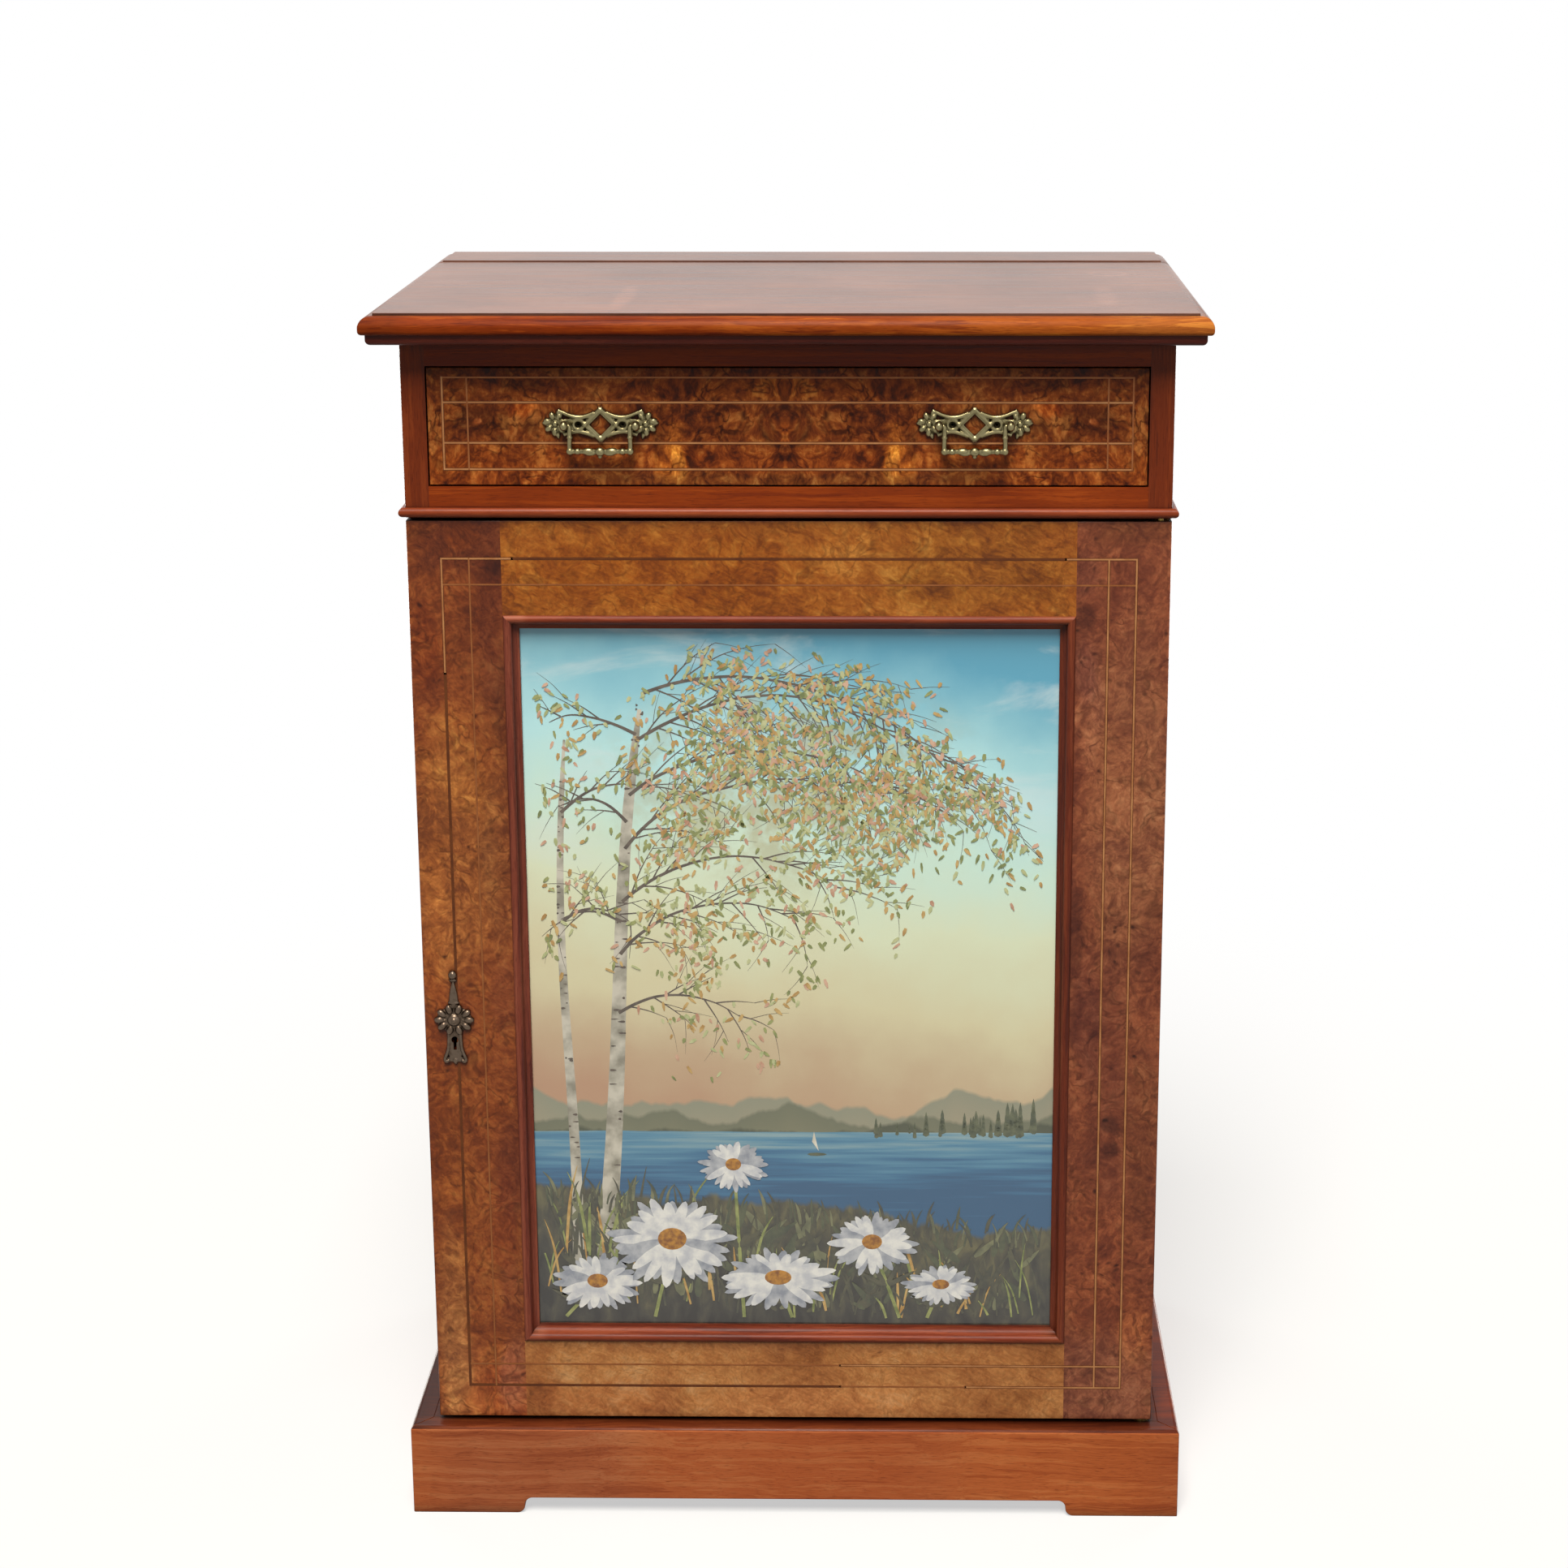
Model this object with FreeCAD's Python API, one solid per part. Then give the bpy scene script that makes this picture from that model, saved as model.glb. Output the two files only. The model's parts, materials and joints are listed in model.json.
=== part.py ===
import FreeCAD, Part
import math
import os
from FreeCAD import Vector

# Pier cabinet: a frieze drawer over one full-width door, on a low plinth.
# Millimetres. X is the width, the front faces -Y, Z is up, and the origin is
# on the floor under the middle of the top.

# Overall sizes
total_height = 1064.0
top_width = 680.0
top_depth = 460.0
side_overhang = 27.0
front_overhang = 34.0
rear_overhang = 8.0

# Top: a wide front board and a narrow rear strip, moulded on the front and the ends
top_thickness = 17.0
top_field_rise = 2.0
top_field_inset = 10.5
top_ovolo_radius = 9.0
rear_strip_width = 76.0
top_joint_gap = 0.8
rear_corner_left_radius = 4.0
rear_corner_right_radius = 18.0

# Cornice strip under the top
cornice_height = 8.5
cornice_setback = 5.0
cornice_round = 4.5

# Carcass
side_thickness = 15.0
back_thickness = 9.0
back_rebate = 8.0
back_joint_gap = 0.8
base_thickness = 18.0
shelf_thickness = 15.0
shelf_height_above_base = 397.0
shelf_front_setback = 24.0
shelf_end_gap = 0.3
batten_size = 15.0
rear_rail_thickness = 18.0

# Frieze: two posts, a top rail and a drawer rail around the drawer
frieze_height = 153.5
post_width = 20.0
frieze_rail_height = 29.0
drawer_rail_height = 26.0
drawer_rail_depth = 61.0
dust_board_thickness = 6.0
dust_board_rise = 6.5
dust_board_groove = 5.0
kicker_width = 20.0
runner_width = 20.0
runner_guide_height = 20.0
stop_length = 30.0
stop_width = 18.0
stop_height = 4.5
stop_spacing = 300.0

# Waist bead round the foot of the frieze
waist_bead_height = 8.0
waist_bead_projection = 5.0
waist_bead_rise = 0.5

# Plinth
plinth_height = 83.0
plinth_thickness = 18.0
plinth_front_overhang = 14.0
plinth_side_overhang = 24.0
plinth_round = 4.0
foot_length = 92.0
foot_ogee_length = 13.0
plinth_cut_height = 14.5
plinth_block_size = 32.0
plinth_block_clearance = 4.0

# Drawer
drawer_gap = 1.0
drawer_front_thickness = 20.0
drawer_side_thickness = 9.0
drawer_rear_clearance = 59.0
drawer_side_drop = 3.0
drawer_back_thickness = 9.0
drawer_back_drop = 6.0
drawer_back_housing = 4.0
drawer_bottom_thickness = 6.0
drawer_bottom_rise = 6.5
drawer_bottom_groove = 4.0
drawer_bottom_end_gap = 0.4
drawer_slide_gap = 0.2
drawer_guide_gap = 0.5
dovetail_length = 14.0
dovetail_count = 4
dovetail_neck_share = 0.42
dovetail_head_share = 0.62

# Drawer pulls: a pierced plate, two posts with nuts, and a swinging bail
pull_spacing = 303.0
pull_rise = 2.0
pull_length = 95.0
pull_height = 29.0
pull_thickness = 1.8
pull_neck_height = 9.0
pull_hole_radius = 2.2
pull_hole_offset = 17.7
pull_foil_radius = 4.4
pull_foil_offset = 3.9
lozenge_half_length = 20.0
lobe_radius = 7.6
lobe_offset = 35.0
lobe_tip_radius = 4.6
lobe_side_radius = 4.8
lobe_side_offset = 33.0
lobe_side_rise = 7.2
post_spacing = 58.0
post_radius = 2.4
post_hole_clearance = 0.15
post_reach = 9.0
post_end_length = 7.0
eye_radius = 4.0
eye_width = 4.4
eye_bore_radius = 1.55
nut_across_flats = 9.0
nut_thickness = 3.5
bail_arm_spacing = 48.8
bail_arm_radius = 1.9
bail_bar_radius = 2.1
bail_bead_radius = 2.9
bail_knuckle_radius = 2.4
bail_bead_pitch = 12.0
bail_drop = 20.7
bail_pin_radius = 1.5

# Door frame
door_thickness = 22.0
door_rear_gap = 0.5
door_top_gap = 2.5
door_bottom_gap = 3.5
stile_width = 77.0
door_top_rail_height = 79.5
door_bottom_rail_height = 72.5
tenon_length = 32.0
tenon_thickness = 7.0
tenon_setback = 3.0
tenon_shoulder = 12.0
rebate_width = 8.0
rebate_depth = 12.0

# Glazing: moulded beads, painted glass, backing panel and rear fillets
glazing_bead_width = 12.5
glazing_bead_proud = 2.5
glazing_torus_width = 7.0
glazing_cove_foot = 3.0
glass_thickness = 4.0
glass_edge_gap = 0.5
back_panel_thickness = 4.0

# Pivot hinges let into the door's right edge
pivot_edge_distance = 9.0
pivot_front_distance = 9.0
pivot_pin_radius = 2.5
pivot_pin_clearance = 0.05
pivot_pin_depth = 4.0
pivot_pit_clearance = 0.8
pivot_plate_length = 40.0
pivot_plate_width = 9.0
pivot_plate_thickness = 2.5
pivot_plate_inset = 2.0
pivot_collar_radius = 4.2
pivot_play = 0.2

# Screws
screw_radius = 1.4
screw_head_radius = 2.8
screw_head_height = 1.8
screw_length = 14.0
screw_clearance = 0.1
screw_slot_width = 0.7
screw_slot_depth = 0.6
plate_screw_near = 15.0
plate_screw_far = 27.0

# Lock on the back of the left stile
keyhole_edge_distance = 25.3
keyhole_height_above_door = 353.5
keyhole_radius = 3.0
keyhole_slot_width = 2.6
keyhole_slot_length = 9.0
lock_plate_length = 48.0
lock_plate_height = 62.0
lock_plate_thickness = 2.0
lock_case_length = 40.0
lock_case_height = 40.0
lock_case_depth = 10.0
lock_side_gap = 2.0
lock_screw_inset = 5.0
bolt_height = 12.0
bolt_thickness = 5.0
bolt_length = 34.0
bolt_rise = 6.0
bolt_clearance = 0.3
bolt_throw = 9.0
bolt_setback = 0.2
mortise_clearance = 0.8

# Escutcheon round the keyhole
escutcheon_height = 86.0
escutcheon_width = 38.0
escutcheon_thickness = 1.6
escutcheon_below_keyhole = 23.5
finial_radius = 4.0
rosette_radius = 5.2
rosette_rise = 2.4
escutcheon_outline_shares = (
    (0.0, 0.0), (0.24, 0.02), (0.17, 0.18), (0.15, 0.33), (0.33, 0.38), (0.5, 0.47),
    (0.38, 0.58), (0.15, 0.61), (0.11, 0.70), (0.125, 0.86), (0.10, 0.96), (0.0, 1.0))
finial_height_share = 0.95
rosette_height_share = 0.475

# One overrun serves every cut
overrun = 2.0

# Derived planes and lines
half_top = top_width / 2
y_top_front = -top_depth / 2
y_top_rear = top_depth / 2
y_front = y_top_front + front_overhang
y_back = y_top_rear - rear_overhang
half_carcass = half_top - side_overhang
half_inside = half_carcass - side_thickness
half_drawer_opening = half_carcass - post_width
z_top_under = total_height - top_thickness
z_frieze_bottom = z_top_under - frieze_height
z_opening_bottom = z_frieze_bottom + drawer_rail_height
z_opening_top = z_top_under - frieze_rail_height
y_door_rear = y_front + door_thickness
y_side_front = y_door_rear + door_rear_gap
y_back_inner = y_back - back_thickness
z_door_bottom = plinth_height + door_bottom_gap
z_door_top = z_frieze_bottom - door_top_gap
half_plinth = half_carcass + plinth_side_overhang
y_plinth_front = y_front - plinth_front_overhang
half_base = half_plinth - plinth_thickness
y_base_front = y_plinth_front + plinth_thickness
y_base_rear = y_back - plinth_thickness
z_dust_bottom = z_frieze_bottom + dust_board_rise
z_dust_top = z_dust_bottom + dust_board_thickness
y_rail_rear = y_front + drawer_rail_depth
pivot_x = half_carcass - pivot_edge_distance
pivot_y = y_front + pivot_front_distance
keyhole_x = -half_carcass + keyhole_edge_distance
keyhole_z = z_door_bottom + keyhole_height_above_door
half_opening = half_carcass - stile_width
z_glazing_bottom = z_door_bottom + door_bottom_rail_height
z_glazing_top = z_door_top - door_top_rail_height
y_glass = y_door_rear - rebate_depth
half_drawer = half_drawer_opening - drawer_gap
z_drawer_bottom = z_opening_bottom + drawer_gap
z_drawer_top = z_opening_top - drawer_gap
y_drawer_rear = y_front + drawer_front_thickness
y_drawer_end = y_back_inner - drawer_rear_clearance
z_pull = (z_drawer_bottom + z_drawer_top) / 2 + pull_rise

along_x = Vector(1, 0, 0)
along_y = Vector(0, 1, 0)
along_z = Vector(0, 0, 1)
origin = Vector(0, 0, 0)


# Shape helpers
def block(low, high):
    size = Vector(*high).sub(Vector(*low))
    return Part.makeBox(size.x, size.y, size.z, Vector(*low))


def prism(points, travel):
    corners = [Vector(*point) for point in points]
    return Part.Face(Part.makePolygon(corners + corners[:1])).extrude(travel)


def rod(start, end, radius):
    run = Vector(*end).sub(Vector(*start))
    return Part.makeCylinder(radius, run.Length, Vector(*start), run)


def mirrored(shape):
    return shape.mirror(origin, along_x)


def fused(shapes):
    return shapes[0].multiFuse(shapes[1:]).removeSplitter()


def save(name, shapes):
    solids = shapes if isinstance(shapes, list) else [shapes]
    shape = solids[0] if len(solids) == 1 else Part.makeCompound(solids)
    shape.exportStep("parts/" + name + ".step")


# An edge profile is a list of steps in (inset, height): a point is a straight
# run to it, and a pair of points is an arc through the first to the second.
def trace(profile, place):
    edges = []
    last = place(*profile[0])
    for step in profile[1:]:
        if isinstance(step[0], tuple):
            end = place(*step[1])
            edges.append(Part.Arc(last, place(*step[0]), end).toShape())
        else:
            end = place(*step)
            edges.append(Part.LineSegment(last, end).toShape())
        last = end
    return edges, last


def closed_face(edges):
    return Part.Face(Part.Wire(Part.__sortEdges__(edges)))


def moulded_slab(profile, half_width, y_near, y_far):
    right, right_end = trace(profile, lambda inset, z: Vector(half_width - inset, y_near, z))
    left, left_end = trace(profile, lambda inset, z: Vector(inset - half_width, y_near, z))
    low_right = right[0].Vertexes[0].Point
    low_left = left[0].Vertexes[0].Point
    ends = [Part.LineSegment(low_left, low_right).toShape(),
            Part.LineSegment(left_end, right_end).toShape()]
    across = closed_face(right + left + ends).extrude(along_y * (y_far - y_near))
    front, front_end = trace(profile, lambda inset, z: Vector(-half_width, y_near + inset, z))
    low_front = front[0].Vertexes[0].Point
    low_rear = Vector(-half_width, y_far, low_front.z)
    high_rear = Vector(-half_width, y_far, front_end.z)
    rear = [Part.LineSegment(low_front, low_rear).toShape(),
            Part.LineSegment(low_rear, high_rear).toShape(),
            Part.LineSegment(high_rear, front_end).toShape()]
    deep = closed_face(front + rear).extrude(along_x * (half_width * 2))
    return across.common(deep)


# Cuts a moulded frame at its two front mitres into a front run and two returns
def mitred(frame, inner, outer, y_far):
    low = frame.BoundBox.ZMin - overrun
    rise = along_z * (frame.BoundBox.ZLength + overrun * 2)
    slope = Vector(outer[0] - inner[0], outer[1] - inner[1], 0).normalize() * overrun
    tip = Vector(outer[0], outer[1], low) + slope
    heel = Vector(inner[0], inner[1], low) - slope
    rear = y_far + overrun
    front_wedge = prism([(-tip.x, tip.y, low), (tip.x, tip.y, low), (heel.x, heel.y, low),
                         (-heel.x, heel.y, low)], rise)
    right_wedge = prism([(tip.x, tip.y, low), (tip.x, rear, low), (heel.x, rear, low),
                         (heel.x, heel.y, low)], rise)
    return frame.common(front_wedge), frame.common(mirrored(right_wedge)), frame.common(right_wedge)


def arc_middle(centre, radius, first, last):
    angle = (first + last) / 2
    return centre[0] + radius * math.cos(angle), centre[1] + radius * math.sin(angle)


def quarter(inset_centre, z_centre, radius, first, last):
    middle = arc_middle((inset_centre, z_centre), radius, first, last)
    end = (inset_centre + radius * math.cos(last), z_centre + radius * math.sin(last))
    return middle, end


# Countersunk wood screw with its head face at a point, driven along a direction
def screw(head, drive, grow):
    tip = head + drive * (screw_length + grow)
    shank = Part.makeCylinder(screw_radius + grow, screw_length + grow, head, drive)
    cone = Part.makeCone(screw_head_radius + grow, screw_radius + grow, screw_head_height, head, drive)
    point = Part.makeCone(screw_radius + grow, 0, screw_radius, tip, drive)
    return fused([shank, cone, point])


def slotted_screw(head, drive):
    across = along_y if abs(drive.y) < abs(drive.z) else along_x
    third = drive.cross(across)
    corner = head - across * screw_head_radius - third * (screw_slot_width / 2)
    slot = Part.Face(Part.makePolygon([
        corner, corner + across * (screw_head_radius * 2),
        corner + across * (screw_head_radius * 2) + third * screw_slot_width,
        corner + third * screw_slot_width, corner])).extrude(drive * screw_slot_depth)
    return screw(head, drive, 0).cut(slot)


# Top boards: the moulded slab is parted at the joint near the rear
def make_top():
    z_ovolo_top = total_height - top_field_rise
    z_ovolo_foot = z_ovolo_top - top_ovolo_radius
    ovolo = quarter(top_ovolo_radius, z_ovolo_foot, top_ovolo_radius, math.pi, math.pi / 2)
    profile = [(0, z_top_under), (0, z_ovolo_foot), ovolo,
               (top_field_inset, z_ovolo_top), (top_field_inset, total_height)]
    slab = moulded_slab(profile, half_top, y_top_front, y_top_rear)
    plan = block((-half_top, y_top_front, z_top_under), (half_top, y_top_rear, total_height))
    for corner_x, radius in ((-half_top, rear_corner_left_radius), (half_top, rear_corner_right_radius)):
        upright = [edge for edge in plan.Edges if abs(edge.BoundBox.ZLength - top_thickness) < overrun
                   and abs(edge.CenterOfMass.x - corner_x) < overrun
                   and abs(edge.CenterOfMass.y - y_top_rear) < overrun]
        plan = plan.makeFillet(radius, upright)
    slab = slab.common(plan)
    y_joint = y_top_rear - rear_strip_width
    gap = block((-half_top, y_joint - top_joint_gap / 2, z_top_under),
                (half_top, y_joint + top_joint_gap / 2, total_height))
    boards = sorted(slab.cut(gap).Solids, key=lambda solid: solid.CenterOfMass.y)
    save("top_board", boards[0])
    save("top_rear_strip", boards[1])


# Cornice strip: front and two returns, mitred at the front corners
def make_cornice():
    z_low = z_top_under - cornice_height
    half_width = half_top - cornice_setback
    y_near = y_top_front + cornice_setback
    arc = quarter(cornice_round, z_low + cornice_round, cornice_round, math.pi * 1.5, math.pi)
    profile = [(cornice_round, z_low), arc, (0, z_top_under)]
    slab = moulded_slab(profile, half_width, y_near, y_back)
    core = block((-half_carcass, y_front, z_low), (half_carcass, y_back, z_top_under))
    front, left, right = mitred(slab.cut(core), (half_carcass, y_front), (half_width, y_near), y_back)
    save("cornice_front", front)
    save("cornice_left", left)
    save("cornice_right", right)


# Waist bead: half round, planted on the frieze's foot and returned along the sides
def make_waist_bead():
    z_low = z_frieze_bottom + waist_bead_rise
    radius = waist_bead_height / 2
    half_width = half_carcass + waist_bead_projection
    y_near = y_front - waist_bead_projection
    profile = [(waist_bead_projection, z_low), (radius, z_low),
               ((0, z_low + radius), (radius, z_low + waist_bead_height)),
               (waist_bead_projection, z_low + waist_bead_height)]
    slab = moulded_slab(profile, half_width, y_near, y_back)
    core = block((-half_carcass, y_front, z_low), (half_carcass, y_back, z_low + waist_bead_height))
    front, left, right = mitred(slab.cut(core), (half_carcass, y_front), (half_width, y_near), y_back)
    save("waist_bead_front", front)
    save("waist_bead_left", left)
    save("waist_bead_right", right)


# The low cut between two bracket feet, with an ogee at each end
def foot_cut(start, finish, place, travel):
    half_step = foot_ogee_length / 2
    half_rise = plinth_cut_height / 2
    bulge_share = 1 - math.sqrt(0.5)

    def ogee(foot, inward):
        knee = place(foot + inward * half_step, half_rise)
        low_mid = place(foot + inward * half_step * math.sqrt(0.5), half_rise * bulge_share)
        high_mid = place(foot + inward * half_step * (1 + bulge_share), half_rise * (1 + math.sqrt(0.5)))
        high = place(foot + inward * foot_ogee_length, plinth_cut_height)
        arcs = [Part.Arc(place(foot, 0), low_mid, knee).toShape(), Part.Arc(knee, high_mid, high).toShape()]
        return arcs, high

    near, near_high = ogee(start, 1)
    far, far_high = ogee(finish, -1)
    drop_near = place(start, -overrun)
    drop_far = place(finish, -overrun)
    runs = [Part.LineSegment(near_high, far_high).toShape(),
            Part.LineSegment(place(start, 0), drop_near).toShape(),
            Part.LineSegment(drop_near, drop_far).toShape(),
            Part.LineSegment(drop_far, place(finish, 0)).toShape()]
    return closed_face(near + far + runs).extrude(travel)


def make_plinth():
    arc = quarter(plinth_round, plinth_height - plinth_round, plinth_round, math.pi, math.pi / 2)
    profile = [(0, 0), (0, plinth_height - plinth_round), arc]
    slab = moulded_slab(profile, half_plinth, y_plinth_front, y_back)
    core = block((-half_base, y_base_front, 0), (half_base, y_back + overrun, plinth_height))
    inner = (half_base, y_base_front)
    outer = (half_plinth, y_plinth_front)
    front, left, right = mitred(slab.cut(core), inner, outer, y_back)
    y_start = y_plinth_front - overrun
    through = along_y * (plinth_thickness + overrun * 2)
    front_cut = foot_cut(-half_plinth + foot_length, half_plinth - foot_length,
                         lambda run, z: Vector(run, y_start, z), through)
    x_start = half_base - overrun
    side_cut = foot_cut(y_plinth_front + foot_length, y_back - foot_length,
                        lambda run, z: Vector(x_start, run, z), along_x * (plinth_thickness + overrun * 2))
    save("plinth_front", front.cut(front_cut))
    save("plinth_left", left.cut(mirrored(side_cut)))
    save("plinth_right", right.cut(side_cut))
    save("plinth_back", block((-half_base, y_base_rear, 0), (half_base, y_back, plinth_height)))
    z_high = plinth_height - base_thickness
    z_low = plinth_cut_height + plinth_block_clearance
    blocks = []
    for x_outer in (half_base, -half_base):
        x_inner = x_outer - math.copysign(plinth_block_size, x_outer)
        for y_outer, inward in ((y_base_front, 1), (y_base_rear, -1)):
            y_inner = y_outer + inward * plinth_block_size
            blocks.append(block((min(x_outer, x_inner), min(y_outer, y_inner), z_low),
                                (max(x_outer, x_inner), max(y_outer, y_inner), z_high)))
    save("plinth_blocks", blocks)


# Pivot hinges: a plate with a pin in the frame, and a plate with a hole in the door
def pivot_plate(z_face, into_wood):
    x_high = half_carcass - pivot_plate_inset
    z_deep = z_face + into_wood * pivot_plate_thickness
    half_width = pivot_plate_width / 2
    return block((x_high - pivot_plate_length, pivot_y - half_width, min(z_face, z_deep)),
                 (x_high, pivot_y + half_width, max(z_face, z_deep)))


def plate_screw_heads(z_face):
    x_high = half_carcass - pivot_plate_inset
    return [Vector(x_high - distance, pivot_y, z_face) for distance in (plate_screw_near, plate_screw_far)]


def pivot_pin(z_face, to_door, gap, grow, depth):
    z_end = z_face + to_door * (gap + pivot_plate_thickness + depth)
    return rod((pivot_x, pivot_y, z_face), (pivot_x, pivot_y, z_end), pivot_pin_radius + grow)


def screw_set(heads, drive):
    return [slotted_screw(head, drive) for head in heads]


def screw_holes(heads, drive):
    return fused([screw(head, drive, screw_clearance) for head in heads])


# Each entry: frame face, door face, direction from the frame to the door, running gap
lower_pivot = (plinth_height, z_door_bottom, 1, door_bottom_gap)
upper_pivot = (z_frieze_bottom, z_door_top, -1, door_top_gap)


def frame_pivot(z_frame, to_door, gap, collar):
    plate = pivot_plate(z_frame, -to_door)
    holes = screw_holes(plate_screw_heads(z_frame), along_z * -to_door)
    pieces = [plate.cut(holes), pivot_pin(z_frame, to_door, gap, 0, pivot_pin_depth)]
    if collar:
        top = z_frame + to_door * (gap - pivot_play)
        pieces.append(rod((pivot_x, pivot_y, z_frame), (pivot_x, pivot_y, top), pivot_collar_radius))
    return fused(pieces)


def frame_recess(z_frame, to_door):
    holes = screw_holes(plate_screw_heads(z_frame), along_z * -to_door)
    return fused([pivot_plate(z_frame, -to_door), holes])


def door_plate(z_frame, z_door, to_door, gap):
    bore = pivot_pin(z_frame, to_door, gap, pivot_pin_clearance, pivot_pin_depth)
    holes = screw_holes(plate_screw_heads(z_door), along_z * to_door)
    return pivot_plate(z_door, to_door).cut(bore).cut(holes)


def door_recess(z_frame, z_door, to_door, gap):
    pit = pivot_pin(z_frame, to_door, gap, pivot_pit_clearance, pivot_pin_depth + pivot_pit_clearance)
    holes = screw_holes(plate_screw_heads(z_door), along_z * to_door)
    return fused([pivot_plate(z_door, to_door), pit, holes])


def make_frame_pivots():
    screws = []
    for name, pivot in (("lower", lower_pivot), ("upper", upper_pivot)):
        z_frame = pivot[0]
        to_door = pivot[2]
        save("pivot_plate_" + name, frame_pivot(z_frame, to_door, pivot[3], name == "lower"))
        screws += screw_set(plate_screw_heads(z_frame), along_z * -to_door)
    save("pivot_screws", screws)


# Carcass sides, with the rear rebate, the dust board's groove and the bolt's mortise
def bolt_box(throw, grow):
    z_low = keyhole_z + bolt_rise
    x_left = -half_inside + lock_side_gap + bolt_setback - throw
    spare = lock_case_depth - lock_plate_thickness - bolt_thickness
    y_near = y_door_rear + lock_plate_thickness + spare / 2
    return block((x_left - grow, y_near - grow, z_low - grow),
                 (x_left + bolt_length + grow, y_near + bolt_thickness + grow, z_low + bolt_height + grow))


def make_sides():
    board = block((half_inside, y_side_front, plinth_height), (half_carcass, y_back, z_top_under))
    rebate = block((half_inside, y_back_inner, plinth_height),
                   (half_inside + back_rebate, y_back, z_top_under))
    groove = block((half_inside, y_rail_rear - dust_board_groove, z_dust_bottom),
                   (half_inside + dust_board_groove, y_back_inner, z_dust_top))
    side = board.cut(fused([rebate, groove]))
    save("side_right", side)
    save("side_left", mirrored(side).cut(bolt_box(bolt_throw, mortise_clearance)))


def make_carcass_inside():
    base = block((-half_base, y_base_front, plinth_height - base_thickness),
                 (half_base, y_base_rear, plinth_height))
    save("bottom_board", base.cut(frame_recess(lower_pivot[0], lower_pivot[2])))
    half_back = half_inside + back_rebate
    back_board = block((back_joint_gap / 2, y_back_inner, plinth_height), (half_back, y_back, z_top_under))
    save("back_board_left", mirrored(back_board))
    save("back_board_right", back_board)
    y_rear_rail = y_back_inner - rear_rail_thickness
    save("rear_top_rail", block((-half_inside, y_rear_rail, z_opening_top),
                                (half_inside, y_back_inner, z_top_under)))
    z_shelf = plinth_height + shelf_height_above_base
    y_shelf = y_side_front + shelf_front_setback
    half_shelf = half_inside - shelf_end_gap
    save("shelf", block((-half_shelf, y_shelf, z_shelf),
                        (half_shelf, y_back_inner - shelf_end_gap, z_shelf + shelf_thickness)))
    batten = block((half_inside - batten_size, y_shelf, z_shelf - batten_size),
                   (half_inside, y_back_inner, z_shelf))
    save("shelf_battens", [batten, mirrored(batten)])


# Frieze: posts, rails, dust board, runners, kickers and stops
def make_frieze():
    post = block((half_drawer_opening, y_front, z_frieze_bottom), (half_carcass, y_side_front, z_top_under))
    recess = frame_recess(upper_pivot[0], upper_pivot[2])
    save("frieze_post_left", mirrored(post))
    save("frieze_post_right", post.cut(recess))
    save("frieze_top_rail", block((-half_drawer_opening, y_front, z_opening_top),
                                  (half_drawer_opening, y_side_front, z_top_under)))
    rail_face = block((-half_drawer_opening, y_front, z_frieze_bottom),
                      (half_drawer_opening, y_rail_rear, z_opening_bottom))
    rail_rear = block((-half_inside, y_side_front, z_frieze_bottom),
                      (half_inside, y_rail_rear, z_opening_bottom))
    y_tongue = y_rail_rear - dust_board_groove
    tongue_slot = block((-half_inside, y_tongue, z_dust_bottom), (half_inside, y_rail_rear, z_dust_top))
    save("drawer_rail", fused([rail_face, rail_rear]).cut(tongue_slot).cut(recess))
    half_dust = half_inside + dust_board_groove
    save("dust_board", block((-half_dust, y_tongue, z_dust_bottom), (half_dust, y_back_inner, z_dust_top)))
    x_guide = half_drawer + drawer_guide_gap
    runner_base = block((half_inside - runner_width, y_rail_rear, z_dust_top),
                        (half_inside, y_back_inner, z_opening_bottom))
    guide = block((x_guide, y_rail_rear, z_opening_bottom),
                  (half_inside, y_back_inner, z_opening_bottom + runner_guide_height))
    runner = fused([runner_base, guide])
    save("drawer_runner_right", runner)
    save("drawer_runner_left", mirrored(runner))
    kicker = block((half_inside - kicker_width, y_side_front, z_opening_top),
                   (half_inside, y_back_inner - rear_rail_thickness, z_top_under))
    save("drawer_kickers", [kicker, mirrored(kicker)])
    y_stop = y_drawer_rear + drawer_slide_gap
    stop = block(((stop_spacing - stop_length) / 2, y_stop, z_opening_bottom),
                 ((stop_spacing + stop_length) / 2, y_stop + stop_width, z_opening_bottom + stop_height))
    save("drawer_stops", [stop, mirrored(stop)])


# Drawer box: lapped dovetails at the front, the bottom in grooves, the back in housings
def dovetails(z_low, z_high):
    pitch = (z_high - z_low) / dovetail_count
    x_inner = half_drawer - drawer_side_thickness
    tails = []
    for number in range(dovetail_count):
        z_mid = z_low + pitch * (number + 0.5)
        neck = pitch * dovetail_neck_share / 2
        head = pitch * dovetail_head_share / 2
        tails.append(prism([(x_inner, y_drawer_rear, z_mid - neck), (x_inner, y_drawer_rear, z_mid + neck),
                            (x_inner, y_drawer_rear - dovetail_length, z_mid + head),
                            (x_inner, y_drawer_rear - dovetail_length, z_mid - head)],
                           along_x * drawer_side_thickness))
    return tails


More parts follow.
